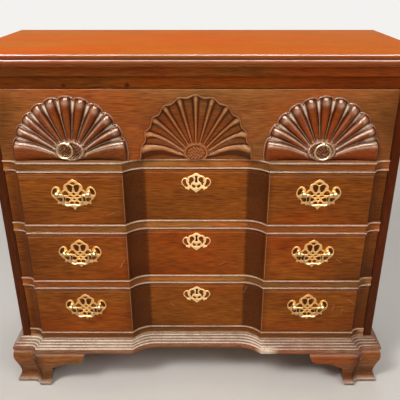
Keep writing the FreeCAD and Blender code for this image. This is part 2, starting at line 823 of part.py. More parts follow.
def pierced_plate(outline, piercings, middles, scale_x, scale_z, centre):
    """A thin plate whose back lies at `centre`, with an outline mirrored about its middle."""
    thickness = value("plate_thickness")

    def at(x, z):
        return centre + Vector(x, 0, z)

    rims = [mirrored_outline(outline, scale_x, scale_z, at)]
    for loop in piercings:
        rims += [closed_loop(loop, scale_x, scale_z, side, at) for side in (1, -1)]
    rims += [closed_loop(loop, scale_x, scale_z, 1, at) for loop in middles]
    solids = [Part.Face(rim).extrude(Vector(0, -thickness, 0)) for rim in rims]
    return solids[0].cut(Part.makeCompound(solids[1:]))


def handle_plates(number):
    """The two pierced backplates of a drawer, on the faces of its blocks."""
    height = handle_height(number)
    plates = []
    for side in (-1, 1):
        centre = Vector(side * value("handle_offset"), -value("block_proud"), height)
        plates.append(pierced_plate(PLATE_OUTLINE, PLATE_PIERCINGS, PLATE_MIDDLES,
                                    value(PLATE_HALF), value("plate_height"), centre))
    drilled = []
    for plate in plates:
        for x in post_places():
            plate = plate.cut(shank_hole(x, height))
        drilled.append(plate)
    shaped(f"handle_plates_{number}", Part.makeCompound(drilled))


def escutcheon(number):
    """The pierced keyhole plate in the recess, near the drawer's top edge."""
    top = value(f"{opening_floor(number)} + opening_height_{number} - escutcheon_drop")
    centre = Vector(0, value("recess_depth"), top)
    scale_z = value("escutcheon_height")
    plate = pierced_plate(ESCUTCHEON_OUTLINE, ESCUTCHEON_PIERCINGS, [],
                          value("escutcheon_width / 2"), scale_z, centre)
    key_top = centre + Vector(0, -value("plate_thickness") * 2, -0.19 * scale_z)
    wide = 0.05 * scale_z
    low = key_top + Vector(0, 0, -0.34 * scale_z)
    slot = half_moulding([key_top + Vector(-wide / 2, 0, 0), low + Vector(-wide, 0, 0),
                          low + Vector(wide, 0, 0), key_top + Vector(wide / 2, 0, 0),
                          key_top + Vector(-wide / 2, 0, 0)], {})
    through = Vector(0, 3 * value("plate_thickness"), 0)
    key = Part.makeCylinder(wide, through.y, key_top, Vector(0, 1, 0)).fuse(prism(slot, through))
    shaped(f"escutcheon_{number}", plate.cut(key))


def bail_depth():
    """Depth of the bails' hinge line in front of the face plane."""
    return -value("block_proud + plate_thickness + post_reach")


def handle_posts(number):
    """Four ball-headed posts with their shanks through the drawer front, and four nuts."""
    height = handle_height(number)
    ball = value("post_ball")
    stem = value("post_stem")
    face = -value("block_proud + plate_thickness")
    back = value("front_thickness")
    forward = Vector(0, 1, 0)
    hole = value("bail_wire / 2 + bail_clearance")
    solids = []
    for x in post_places():
        head = Part.makeSphere(ball, Vector(x, bail_depth(), height))
        neck = Part.makeCylinder(stem * 1.5, face - bail_depth(), Vector(x, bail_depth(), height), forward)
        seat = Vector(x, face - stem * 2, height)
        collar = Part.makeCone(stem * 1.5, value("post_collar"), stem * 2, seat, forward)
        shank = Part.makeCylinder(stem, back + value("nut_height") - face, Vector(x, face, height), forward)
        bore = Part.makeCylinder(hole, 4 * ball, Vector(x - 2 * ball, bail_depth(), height), Vector(1, 0, 0))
        solids.append(head.fuse([neck, collar, shank]).removeSplitter().cut(bore))
        nut = Part.makeCylinder(value("nut_radius"), value("nut_height"), Vector(x, back, height), forward)
        solids.append(nut.cut(shank))
    shaped(f"handle_posts_{number}", Part.makeCompound(solids))


def rounded_wire(points, radius):
    """A wire of straight runs joined by arcs of one radius, tangent to both."""
    edges = []
    start = points[0]
    for before, corner, after in zip(points, points[1:], points[2:]):
        run_in = (corner - before).normalize()
        run_out = (after - corner).normalize()
        turn = run_in.getAngle(run_out)
        setback = radius * math.tan(turn / 2)
        enter = corner - run_in * setback
        leave = corner + run_out * setback
        inward = (run_out - run_in).normalize()
        middle = corner + inward * (radius / math.cos(turn / 2) - radius)
        edges.append(line(start, enter))
        edges.append(Part.Arc(enter, middle, leave).toShape())
        start = leave
    edges.append(line(start, points[-1]))
    return Part.Wire(edges)


def bail(number):
    """The two swan-necked bails of a drawer, each hung by its own ends in its two posts."""
    half = value("post_spacing / 2")
    reach = half + value("post_ball")
    neck = value("bail_neck")
    drop = value("bail_drop")
    bend = value("bail_bend")
    for name, side in SIDES.items():
        centre = Vector(side * value("handle_offset"), bail_depth(), handle_height(number))
        right = [Vector(reach, 0, 0), Vector(neck, 0, 0), Vector(neck + 1.5, 0, bend - drop),
                 Vector(neck - bend, 0, -drop)]
        left = [Vector(-point.x, 0, point.z) for point in reversed(right)]
        route = [centre + point for point in right + [Vector(0, 0, 2 - drop)] + left]
        ring = Part.Circle(route[0], Vector(1, 0, 0), value("bail_wire / 2")).toShape()
        path = rounded_wire(route, bend * 0.6)
        shaped(f"bail_{number}_{name}", path.makePipeShell([Part.Wire(ring)], True, True))


def ring_depth():
    """Depth of the pull rings' plane in front of the face plane."""
    return -value("boss_relief + ring_reach")


def ring_eye(side):
    """The point where a ring hangs in its post."""
    return Vector(side * value("shell_offset"), ring_depth(), front_floor(1) + value("ring_eye_height"))


def ring_posts():
    """Two short posts on the shells' bosses, each with an eye through its ball end."""
    solids = []
    for side in (-1, 1):
        eye = ring_eye(side)
        tilt = value("ring_tilt") if side < 0 else 0
        across = Vector(math.cos(math.radians(tilt)), 0, -math.sin(math.radians(tilt)))
        ball = value("ring_ball")
        head = Part.makeSphere(ball, eye)
        stem = Part.makeCylinder(value("post_stem"), value("ring_reach"), eye, Vector(0, 1, 0))
        hole = value("ring_wire / 2 + bail_clearance * 2")
        bore = Part.makeCylinder(hole, 4 * ball, eye - across * 2 * ball, across)
        solids.append(head.fuse(stem).cut(bore))
    shaped("ring_posts", Part.makeCompound(solids))


def rings():
    """The two pull rings; the left one hangs askew, because its post is turned."""
    for name, side in SIDES.items():
        tilt = math.radians(value("ring_tilt") if side < 0 else 0)
        hang = Vector(-math.sin(tilt), 0, -math.cos(tilt)) * value("ring_radius")
        middle = ring_eye(side) + hang
        loop = Part.makeTorus(value("ring_radius"), value("ring_wire / 2"), middle, Vector(0, 1, 0))
        shaped(f"ring_{name}", loop)


# ---------------------------------------------------------------- assembly
side_boards()
case_boards()
blades()
top_board()
cornice()
base_moulding()
feet()
top_drawer_front()
applied_shells()
ring_posts()
rings()
for drawer in DRAWERS:
    drawer_box(drawer)
for drawer in DRAWERS[1:]:
    blocked_front(drawer)
    handle_plates(drawer)
    handle_posts(drawer)
    bail(drawer)
    escutcheon(drawer)

doc.recompute()
for item in doc.Objects:
    bad = [state for state in item.State if state in ("Invalid", "Error")]
    if bad:
        raise RuntimeError(f"{item.Label}: {bad}")
for item in subparts:
    if item.Shape.isNull() or not item.Shape.isValid():
        raise RuntimeError(f"{item.Label}: no valid shape")
for item in subparts:
    item.Shape.exportStep(f"parts/{item.Label}.step")
print(len(subparts), "sub-parts")
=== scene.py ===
"""Dresses the block-and-shell chest of four drawers.

Lengths are in millimetres and are turned to metres when a mesh is made. x is to the right, y is
back from the face plane (the plane of the flat strips at both ends of the front) and z is up.
"""
import math

import bmesh
import bpy
import numpy as np
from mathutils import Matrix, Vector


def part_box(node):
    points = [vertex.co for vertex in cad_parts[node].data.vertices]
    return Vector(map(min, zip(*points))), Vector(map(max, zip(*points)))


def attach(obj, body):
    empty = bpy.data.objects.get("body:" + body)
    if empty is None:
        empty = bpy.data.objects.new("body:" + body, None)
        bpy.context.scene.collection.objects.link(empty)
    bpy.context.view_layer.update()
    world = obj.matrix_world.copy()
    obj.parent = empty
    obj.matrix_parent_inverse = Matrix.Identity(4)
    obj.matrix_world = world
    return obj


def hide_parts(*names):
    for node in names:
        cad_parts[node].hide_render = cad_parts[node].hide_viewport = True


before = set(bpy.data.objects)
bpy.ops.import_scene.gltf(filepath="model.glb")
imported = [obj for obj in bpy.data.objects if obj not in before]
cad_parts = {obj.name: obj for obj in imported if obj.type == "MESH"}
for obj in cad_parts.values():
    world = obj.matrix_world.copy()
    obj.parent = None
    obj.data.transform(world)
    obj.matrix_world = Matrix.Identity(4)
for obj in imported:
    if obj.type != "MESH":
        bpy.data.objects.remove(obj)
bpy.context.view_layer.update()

# ---------------------------------------------------------------------------------------------
# The case: two sides, a rail behind the frieze and, out of sight, the back, floor, runners and
# dust boards. What shows is mahogany under a glossy red-brown lacquer, with darker glaze and
# painted shade in the hollows and paler wear and painted highlights on the crests; the sides are
# darkened with painted shade. The inside is pale poplar, sanded and left bare.
# ---------------------------------------------------------------------------------------------
MM = 0.001
FACE_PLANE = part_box("side_left")[0].y
MAHOGANY_DARK = (0.075, 0.014, 0.002, 1)
MAHOGANY_LIGHT = (0.365, 0.105, 0.011, 1)
REDDER = (1.05, 0.68, 0.5, 1)
# The colour of glaze in hollows, also used as painted shade.
GLAZE_AND_SHADE_COLOR = (0.03, 0.006, 0.001, 1)
BLACK = (0, 0, 0, 1)
# The colour of wear on crests, also used for painted highlights and sheen.
WEAR_AND_HIGHLIGHT_WOOD = (0.62, 0.38, 0.24, 1)
LACQUER_TINT = (1.0, 0.55, 0.3, 1)
POPLAR = {"dark": (0.42, 0.27, 0.14, 1), "light": (0.66, 0.49, 0.3, 1), "coat": 0, "blush": 0.15}
ALONG_X = (0, 0, 0)
ALONG_Y = (0, 0, math.pi / 2)
ALONG_Z = (0, math.pi / 2, 0)


def feed(made, inputs):
    """A shader node's outputs, once its inputs (by name or number) are linked or set."""
    for name, source in inputs.items():
        if isinstance(source, bpy.types.NodeSocket):
            made.id_data.links.new(source, made.inputs[name])
        else:
            made.inputs[name].default_value = source
    return made.outputs


def node(tree, kind, inputs=None, **settings):
    """The outputs of a new shader node with these inputs and settings."""
    made = tree.nodes.new("ShaderNode" + kind)
    for name, setting in settings.items():
        setattr(made, name, setting)
    return feed(made, inputs or {})


def mixed(tree, share, first, second, blend="MIX"):
    """The colour that is `share` of the way from the first to the second, or to their product."""
    return node(tree, "Mix", {0: share, 6: first, 7: second}, data_type="RGBA", blend_type=blend)[2]


def spread(tree, source, low, high, start=0.0, end=1.0):
    """The source's run from low to high, stretched to start to end and held there."""
    return node(tree, "MapRange", {0: source, 1: low, 2: high, 3: start, 4: end})[0]


def sums(tree, operation, first, second):
    """The first number and the second, added, multiplied or whatever the operation says."""
    return node(tree, "Math", {0: first, 1: second}, operation=operation)[0]


def noise(tree, vector, scale, detail=3.0, roughness=0.5):
    """A cloudy pattern from 0 to 1 over a vector stretched by `scale` along its three axes."""
    stretched = node(tree, "Mapping", {"Vector": vector, "Scale": scale})[0]
    return node(tree, "TexNoise", {"Vector": stretched, "Scale": 1.0, "Detail": detail,
                                   "Roughness": roughness})[0]


def shader_group(name, inputs, outputs):
    """A new node group: its tree, the values it is given and the node that hands its results out."""
    tree = bpy.data.node_groups.new(name, "ShaderNodeTree")
    for direction, sockets in (("INPUT", inputs), ("OUTPUT", outputs)):
        for title, kind in sockets.items():
            tree.interface.new_socket(title, in_out=direction, socket_type="NodeSocket" + kind)
    return tree, tree.nodes.new("NodeGroupInput").outputs, tree.nodes.new("NodeGroupOutput")


def grain_group():
    """Wood grain along x: fine lines and streaks over broad blotches, some of them redder.

    The tone is the sum of four noises, each times its share.
    """
    tree, given, result = shader_group(
        "wood grain",
        {"Vector": "Vector", "Dark": "Color", "Light": "Color", "Pores": "Float", "Blush": "Float"},
        {"Color": "Color", "Roughness": "Float", "Height": "Float"})
    lines, streaks, blotches, clouds, flecks = (
        noise(tree, given["Vector"], (along, across, across), 2, roughness)
        for along, across, roughness in ((34, 820, 0.5), (22, 170, 0.6), (6, 17, 0.5), (3, 7, 0.5),
                                         (45, 800, 0.5)))
    tone = sums(tree, "MULTIPLY", lines, 0.54)
    for part, share in ((streaks, 0.1), (blotches, 0.17), (clouds, 0.17)):
        tone = sums(tree, "ADD", tone, sums(tree, "MULTIPLY", part, share))
    plain = mixed(tree, spread(tree, tone, 0.34, 0.66), given["Dark"], given["Light"])
    blush = sums(tree, "MULTIPLY", spread(tree, clouds, 0.4, 0.62), given["Blush"])
    pores = sums(tree, "MULTIPLY", spread(tree, flecks, 0.56, 0.7), given["Pores"])
    darker = mixed(tree, 0.5, given["Dark"], BLACK)
    feed(result, {"Color": mixed(tree, pores, mixed(tree, blush, plain, REDDER, "MULTIPLY"), darker),
                  "Roughness": spread(tree, streaks, 0.3, 0.7, 0.3, 0.42),
                  "Height": sums(tree, "SUBTRACT", sums(tree, "MULTIPLY", streaks, 0.5), pores)})
    return tree


def patina_and_light_group():
    """Glaze and painted shade in hollows, wear and painted highlights on high edges, faint lacquer smears.

    The dark and the light places come from the mesh's own attributes, broken up by noise.
    """
    tree, given, result = shader_group(
        "patina and painted light", {"Vector": "Vector", "Color": "Color", "Roughness": "Float", "Wear and sheen": "Color"},
        {"Color": "Color", "Roughness": "Float"})
    hollow, rubbing_and_highlight = (node(tree, "Attribute", attribute_name=name)[2] for name in ("hollow", "rubbing_and_highlight"))
    specks = noise(tree, given["Vector"], (300, 300, 300), 4, 0.6)
    patches = noise(tree, given["Vector"], (38, 60, 60), 2)
    smears = noise(tree, given["Vector"], (9, 14, 14))
    glazed_and_shaded = mixed(tree, spread(tree, hollow, 0, 1, 0, 0.9), given["Color"], GLAZE_AND_SHADE_COLOR)
    patchy = sums(tree, "MULTIPLY", spread(tree, specks, 0.35, 0.62, 0.5, 1),
                  spread(tree, patches, 0.35, 0.62, 0.75, 1.1))
    wear_and_sheen = sums(tree, "MULTIPLY", rubbing_and_highlight, patchy)
    dulled = sums(tree, "ADD", given["Roughness"], spread(tree, smears, 0.45, 0.75, 0, 0.14))
    feed(result, {"Color": mixed(tree, wear_and_sheen, glazed_and_shaded, given["Wear and sheen"]),
                  "Roughness": sums(tree, "ADD", dulled, sums(tree, "MULTIPLY", wear_and_sheen, 0.25))})
    return tree


GRAIN = grain_group()
PATINA_AND_LIGHT = patina_and_light_group()


def new_material(name):
    """A material: itself, its node tree, its Principled BSDF and the Object coordinates."""
    material = bpy.data.materials.new(name)
    material.use_nodes = True
    tree = material.node_tree
    return material, tree, tree.nodes["Principled BSDF"], node(tree, "TexCoord")["Object"]


def wood(name, dark=MAHOGANY_DARK, light=MAHOGANY_LIGHT, turn=ALONG_X, seed=0.0, coat=0.12, edge=None,
         shine=0.06, polish=0.0, blush=1.0, wear_and_sheen=WEAR_AND_HIGHLIGHT_WOOD, scratches_and_highlights=(), stains_and_shade=()):
    """A wooden finish whose grain runs along x before `turn`, with a clear coat over it.

    Scratches and pale lines that paint highlights, and dark spots that are partly knots, wax and
    dirt and partly painted shade, lie on faces that look along y. `edge` holds a colour, its share
    and the coat for places where the mesh's `polished` attribute is 1.
    """
    material, tree, shader, place = new_material(name)
    vector = node(tree, "Mapping", {"Vector": place, "Rotation": turn, "Location": (seed, seed, seed)})[0]
    grain = node(tree, "Group", {"Vector": vector, "Dark": dark, "Light": light, "Pores": 0.3,
                                 "Blush": blush}, node_tree=GRAIN)
    # Glaze with painted shade darkens the hollows; wear with painted highlights lightens the crests.
    aged_and_lit = node(tree, "Group", {"Vector": place, "Color": grain["Color"],
                                "Roughness": grain["Roughness"], "Wear and sheen": wear_and_sheen}, node_tree=PATINA_AND_LIGHT)
    color = aged_and_lit["Color"]
    # Pale lines are scratches, and down the blocks' arrises painted highlights; dark ovals are knots, wax and
    # dirt, and painted shade.
    for line in scratches_and_highlights:
        color = mixed(tree, pale_line(tree, place, *line), color, WEAR_AND_HIGHLIGHT_WOOD)
    for spot in stains_and_shade:
        color = mixed(tree, dark_oval(tree, place, *spot), color, GLAZE_AND_SHADE_COLOR)
    if edge:
        shade, share, edge_coat = edge
        polished = node(tree, "Attribute", attribute_name="polished")[2]
        color = mixed(tree, sums(tree, "MULTIPLY", polished, share), color, shade)
        coat = spread(tree, polished, 0, 1, coat, edge_coat)
    bump = node(tree, "Bump", {"Height": grain["Height"], "Strength": 0.08, "Distance": 0.0003})
    feed(shader, {"Base Color": color, "Normal": bump[0], "Coat Weight": coat, "Coat Roughness": 0.1,
                  "Roughness": sums(tree, "SUBTRACT", aged_and_lit["Roughness"], polish),
                  "Specular IOR Level": shine, "Specular Tint": LACQUER_TINT})
    return material


def pale_line(tree, place, x, z, length, slope, wander=1.2):
    """How much of a thin pale line there is at a place: a soft line at x, z, turned by `slope`.

    Most are scratches; those down the blocks' arrises are painted highlights. The line strays by
    up to `wander` to either side.
    """
    local = node(tree, "Mapping", {"Vector": place, "Location": (-x * MM, 0, -z * MM)})[0]
    local = node(tree, "Mapping", {"Vector": local, "Rotation": (0, slope, 0)})[0]
    along, _, across = node(tree, "SeparateXYZ", {0: local})
    wobble = noise(tree, local, (160, 10, 10), 2)
    across = sums(tree, "ADD", across, spread(tree, wobble, 0, 1, -wander * MM, wander * MM))
    thin = spread(tree, sums(tree, "ABSOLUTE", across, 0), 0.1 * MM, 0.6 * MM, 0.5, 0)
    within = spread(tree, sums(tree, "ABSOLUTE", along, 0), length * 0.35 * MM, length * 0.5 * MM, 1, 0)
    return sums(tree, "MULTIPLY", thin, within)


def dark_oval(tree, place, x, z, radius, height, deep, core=0.4):
    """How dark a ragged oval spot about x, z is at a place: `deep` in its core, 0 at its edge.

    A knot is a small round one. Wider ones behind each backplate and round the keyhole are wax
    and dirt together with painted shade in the openings; broad soft ones make a board darker towards
    its ends and lower corners, as painted shade at the ends of the frieze.
    """
    squeeze = radius / height
    local = node(tree, "Mapping", {"Vector": place, "Location": (-x * MM, 0, -z * squeeze * MM),
                                   "Scale": (1, 0, squeeze)})[0]
    away = node(tree, "VectorMath", {0: local}, operation="LENGTH")["Value"]
    rough = noise(tree, place, (400, 400, 400), 2)
    ragged = sums(tree, "ADD", away, spread(tree, rough, 0, 1, -MM, MM))
    return spread(tree, ragged, radius * core * MM, radius * MM, deep, 0)


def finish(material, *names):
    """Gives CAD nodes a material."""
    for name in names:
        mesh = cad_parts[name].data
        mesh.materials.clear()
        mesh.materials.append(material)


mahogany_across = wood("mahogany_across")
# The sides' mahogany is far darker than the front's: painted shade.
mahogany_upright_shaded = wood("mahogany_upright_shaded", (0.025, 0.005, 0.001, 1), (0.11, 0.026, 0.004, 1), ALONG_Z,
                        seed=0.7)
poplar_across = wood("poplar_across", seed=1.3, **POPLAR)
poplar_deep = wood("poplar_deep", turn=ALONG_Y, seed=2.1, **POPLAR)
finish(mahogany_upright_shaded, "side_left", "side_right")
finish(poplar_across, "back_panel", "rear_top_rail", "dust_boards", "case_bottom")
finish(poplar_deep, "drawer_runners")

# ---------------------------------------------------------------------------------------------
# The top: one wide board, moulded along its front and both ends with a round nose above a quirk
# and a broad ovolo, lightened by painted light. A cove moulding, mitred at the corners, covers its
# joint with the frieze, which is a plain rail with two small knots, darkened by painted shade.
# ---------------------------------------------------------------------------------------------
CASE_HALF = 438.0
CASE_DEPTH = 412.0
OPENING_HALF = 418.0
FRIEZE_FOOT = 742.5
FRIEZE_THICKNESS = 22.0
COVE_FOOT = 765.5
TOP_UNDERSIDE = 790.5
TOP_BACK = 417.0
SIDES = (("left", -1), ("right", 1))


def placed(name, data):
    """A new object in the scene that holds a mesh, a curve, a lamp or a camera."""
    piece = bpy.data.objects.new(name, data)
    bpy.context.scene.collection.objects.link(piece)
    return piece


def closed(mesh, merge, crease):
    """A mesh with its doubles merged, its faces turned outwards and all but its creases smooth."""
    shell = bmesh.new()
    shell.from_mesh(mesh)
    bmesh.ops.remove_doubles(shell, verts=shell.verts, dist=merge * MM)
    bmesh.ops.dissolve_degenerate(shell, edges=shell.edges, dist=0.005 * MM)
    bmesh.ops.recalc_face_normals(shell, faces=shell.faces)
    shell.to_mesh(mesh)
    shell.free()
    mesh.polygons.foreach_set("use_smooth", [True] * len(mesh.polygons))
    mesh.set_sharp_from_angle(angle=math.radians(crease))
    return mesh


def solid(name, grids, caps=(), marks=None, crease=35, bevel=0.0):
    """A closed piece from grids of points, each (rows, columns, 3), and flat many-sided caps.

    Neighbouring points of a grid make quads; points that meet are joined, so edges close up.
    `marks` holds, for each attribute, one number per grid point in the grids' order.
    """
    faces = []
    start = 0
    for grid in grids:
        index = start + np.arange(grid[..., 0].size).reshape(grid.shape[:2])
        corners = (index[:-1, :-1], index[1:, :-1], index[1:, 1:], index[:-1, 1:])
        faces += np.stack(corners, axis=-1).reshape(-1, 4).tolist()
        start += index.size
    for cap in caps:
        faces.append(list(range(start, start + len(cap))))
        start += len(cap)
    where = np.concatenate([part.reshape(-1, 3) for part in (*grids, *caps)]) * MM + (0, FACE_PLANE, 0)
    mesh = bpy.data.meshes.new(name)
    mesh.from_pydata(where.tolist(), [], faces)
    for title, numbers in (marks or {}).items():
        full = np.zeros(start, np.float32)
        numbers = np.concatenate([np.ravel(part) for part in numbers])
        full[:len(numbers)] = numbers
        mesh.attributes.new(title, "FLOAT", "POINT").data.foreach_set("value", full)
    piece = placed(name, closed(mesh, 0.02, crease))
    if bevel:
        round_over = piece.modifiers.new("rounded edges", "BEVEL")
        round_over.width = bevel * MM
        round_over.segments = 2
        round_over.limit_method = "ANGLE"
        round_over.angle_limit = math.radians(40)
        round_over.harden_normals = True
    return piece


def capped(name, grid, **options):
    """A grid whose columns run round and meet, with a flat cap over its first and its last row."""
    return solid(name, [grid], [grid[0, :-1], grid[-1, :-1]], **options)


def fitted(piece, material, body, node_name):
    """Finishes a piece, hangs it on its body and lets it stand for its CAD node."""
    piece.data.materials.append(material)
    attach(piece, body)
    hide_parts(node_name)


def points(*parts):
    """Points from their coordinates, each a number or an array, all spread to one shape."""
    return np.stack(np.broadcast_arrays(*parts), -1)


def arc(centre, radii, first, last, count):
    """Points (out, z) on an ellipse about `centre`, from the first angle to the last, in degrees."""
    turn = np.radians(np.linspace(first, last, count))
    return points(centre[0] + radii[0] * np.cos(turn), centre[1] + radii[1] * np.sin(turn))


def lifted(corners, profile):
    """A profile (out, z) carried round corners, which are (corners, outs, 2) in x and y."""
    corners = np.array(corners)
    return points(corners[..., 0], corners[..., 1], profile[:, 1])


def front_corners(out):
    """The two mitred corners across the front, `out` beyond the case."""
    return [points(-CASE_HALF - out, -out), points(CASE_HALF + out, -out)]


def side_corners(sign, out, back):
    """The mitred corner at the front of one side and the side's end at `back`."""
    across = sign * (CASE_HALF + out)
    return [points(across, -out), points(across, back)]


def block_grid(low, high):
    """The side of a rectangular block as one row of points round its foot and one round its top."""
    (x0, y0, z0), (x1, y1, z1) = low, high
    return points([x0, x1, x1, x0, x0], [y0, y0, y1, y1, y0], [[z0], [z1]])


frieze_grid = block_grid((-OPENING_HALF, 0, FRIEZE_FOOT), (OPENING_HALF, FRIEZE_THICKNESS, TOP_UNDERSIDE))
frieze = capped("frieze", frieze_grid, bevel=0.9)
knots = [(-268, 747.5, 6.5, 5, 0.9), (-139, 748, 7.5, 6.5, 0.9)]
# Broad darkening towards both ends of the frieze: painted shade.
painted_shade_ends = [(sign * 420, 766, 300, 150, 0.35) for _, sign in SIDES]
# The frieze's mahogany is darker than the front's: painted shade under the top's overhang.
frieze_wood = wood("mahogany_frieze", (0.06, 0.011, 0.0015, 1), (0.26, 0.07, 0.008, 1), seed=2.6,
                   stains_and_shade=knots + painted_shade_ends)
fitted(frieze, frieze_wood, "case", "top_rail")

nose = arc((27, 808.5), (4, 4), 90, -75, 12)
ovolo = arc((22, 797.5), (6.2, 5.2), 62, -75, 12)
top_profile = np.concatenate([nose, [(27.4, 803.4), (24.8, 802.4)], ovolo, [(22.4, TOP_UNDERSIDE)]])
top_left, top_right = (side_corners(sign, top_profile[:, 0], TOP_BACK) for _, sign in SIDES)
top_grid = lifted([top_left[0], *top_right, top_left[1], top_left[0]], top_profile)
top_polish = np.ones(top_grid.shape[:2])
top_polish[:, :2] = 0
top = solid("top", [top_grid], [top_grid[:-1, 0], top_grid[:-1, -1]], marks={"polished": top_polish})
# The top's mahogany is lighter and oranger than the front's: painted light from above and a painted
# reflection of a warm wall.
top_wood = wood("mahogany_top", (0.37, 0.08, 0.006, 1), (0.64, 0.168, 0.013, 1), seed=3.2, coat=0.1,
                edge=((0.1554, 0.04, 0.006, 1), 0.68, 0.7), shine=0.0, polish=0.08)
feed(top_wood.node_tree.nodes["Principled BSDF"],
     {"Sheen Weight": 0.5, "Sheen Roughness": 0.35, "Sheen Tint": (1, 0.3, 0.05, 1)})
fitted(top, top_wood, "case", "top_board")

cove = arc((22.5, 768), (17.5, 19.5), 180, 98, 14)
cornice_profile = np.concatenate([[(0, COVE_FOOT), (3, COVE_FOOT), (3.6, 766.3), (3, 767.2)], cove,
                                  [(22, 787.5), (22, TOP_UNDERSIDE), (0, TOP_UNDERSIDE), (0, COVE_FOOT)]])
cornice_out = cornice_profile[:, 0]
cornice = capped("cornice", lifted(front_corners(cornice_out), cornice_profile), bevel=0.3)
fitted(cornice, mahogany_across, "case", "cornice_front")
mahogany_deep = wood("mahogany_deep", turn=ALONG_Y, seed=5.1)
for side, sign in SIDES:
    return_grid = lifted(side_corners(sign, cornice_out, CASE_DEPTH), cornice_profile)
    cornice_return = capped(f"cornice_return_{side}", return_grid, bevel=0.3)
    fitted(cornice_return, mahogany_deep, "case", f"cornice_{side}")

# ---------------------------------------------------------------------------------------------
# The blades: three rails between the drawers and one below them. Each follows the blocked front,
# out over the two blocks and back into the recess, and has a bead scratched along both its edges.
# ---------------------------------------------------------------------------------------------
BLOCK_PROUD = 16.0
RECESS_DEPTH = 11.0
BLOCK_INNER = 158.5
BLOCK_OUTER = 383.5
STRIP_START = 403.0
RECESS_HALF = 110.0
INNER_DRIFT = 0.5
OUTER_DRIFT = 0.8
RAIL_DEPTH = 70.0
BEAD_OUT = 1.7
BEAD_HALF = 2.3
BAND_INSET = 5.2
OPENINGS = {1: (590.0, FRIEZE_FOOT), 2: (444.5, 566.0), 3: (299.5, 420.5), 4: (152.0, 275.5)}


def ramp(values, start, end):
    """0 up to `start`, 1 from `end` on, and a straight line between them."""
    return np.clip((values - start) / (end - start), 0, 1)


def bell(values, middle, width):
    """A bell curve, exp(-x squared): 1 at the middle and 1/e at a `width` from it."""
    return np.exp(-((values - middle) / width) ** 2)


def cove_line(flat, arris, shares):
    """A hollow arc that leaves the point `flat` along x and ends at `arris`, at shares of its turn."""
    width = arris[0] - flat[0]
    depth = flat[1] - arris[1]
    radius = (width ** 2 + depth ** 2) / (2 * depth)
    turn = shares * np.arcsin(width / radius)
    return points(flat[0] + radius * np.sin(turn), flat[1] - radius * (1 - np.cos(turn)))


def outer_cove(out, count):
    """The cove from a block's outer arris to the strip at the end, `out` beyond the drawers."""
    arris = (BLOCK_OUTER + OUTER_DRIFT * out, -BLOCK_PROUD - out)
    strip = (STRIP_START + OUTER_DRIFT * out, -out)
    return cove_line(strip, arris, np.linspace(0, 1, count)[:, None])[::-1]


def straight(start, end):
    """Points in equal steps from start to end."""
    return start + (end - start) * np.linspace(0, 1, 17)[:, None, None]


def blocked_line(out, half_width):
    """The front's line, `out` beyond the drawers: (stations, outs, 2) from the left to the right."""
    recess = (RECESS_HALF - INNER_DRIFT * out, RECESS_DEPTH - out)
    inner = cove_line(recess, (BLOCK_INNER, -BLOCK_PROUD - out), np.linspace(0, 1, 15)[:, None])
    outer = outer_cove(out, 15)
    right = np.concatenate([straight(points(0, RECESS_DEPTH - out), inner[0]), inner[1:],
                            straight(inner[-1], outer[0])[1:], outer[1:], points(half_width, -out)[None]])
    return np.concatenate([right[:0:-1] * (-1, 1), right])


def blocked_sweep(profile, back, half_width):
    """A profile (out, z), from its foot up, carried along the blocked front, and closed behind."""
    profile = np.asarray(profile, float)
    front = lifted(blocked_line(profile[:, 0], half_width), profile)
    behind = front[:, [-1, 0]].copy()
    behind[..., 1] = back
    return np.concatenate([front, behind, front[:, :1]], axis=1)


def beaded(floor, ceiling):
    """A rail's section: a bead at the foot, a shallow hollow and a bead at the top."""
    low_bead, high_bead = (arc((0, middle), (BEAD_OUT, BEAD_HALF), -90, 90, 9)
                           for middle in (floor + BEAD_HALF, ceiling - BEAD_HALF))
    rise = np.linspace(0, 1, 7)
    heights = floor + BAND_INSET + (ceiling - floor - 2 * BAND_INSET) * rise
    band = points(-0.6 - 0.8 * np.sin(np.pi * rise), heights)
    return np.concatenate([low_bead, band, high_bead])


def cove_glaze_and_shade(grid):
    """How dark glazing and painted shade make the coves beside the recess, and less the blocks' outer coves.
    """
    across = np.abs(grid[..., 0])
    inner = ramp(across, RECESS_HALF, RECESS_HALF + 5) * ramp(across, BLOCK_INNER + 1, BLOCK_INNER - 1)
    outer = ramp(across, BLOCK_OUTER + 0.5, BLOCK_OUTER + 3.5)
    return (0.8 * inner + 0.48 * outer) * (grid[..., 1] < RECESS_DEPTH + 1)


def rail_marks(grid, floor, ceiling, least, chipped):
    """Darkening beside the beads of a rail and in its coves, glazing with painted shade, and a painted
    highlight along the beads' crests.

    Elsewhere it is at least `least`, and more outside the recess. A chip bares the right end.
    """
    height = (grid[..., 2] - floor) / (ceiling - floor)
    off_middle = np.abs(height - 0.5)
    in_front = grid[..., 1] < 20
    sides = np.maximum(least, 0.5 * ramp(np.abs(grid[..., 0]), 112, 120))
    # Painted shade, with glazing, in the quirks beside the beads.
    quirks = 0.95 * bell(off_middle, 0.3, 0.055) * in_front
    chip = chipped * ramp(grid[..., 0], 404, 414) * ramp(height, 0.3, 0.55)
    glaze_and_shade = np.maximum(quirks, np.maximum(0.7 * cove_glaze_and_shade(grid), sides)) * (1 - chip)
    # A painted highlight along the beads' crests, and the chip's bare wood.
    return {"hollow": glaze_and_shade, "rubbing_and_highlight": np.maximum(0.75 * bell(off_middle, 0.41, 0.07), chip) * in_front}


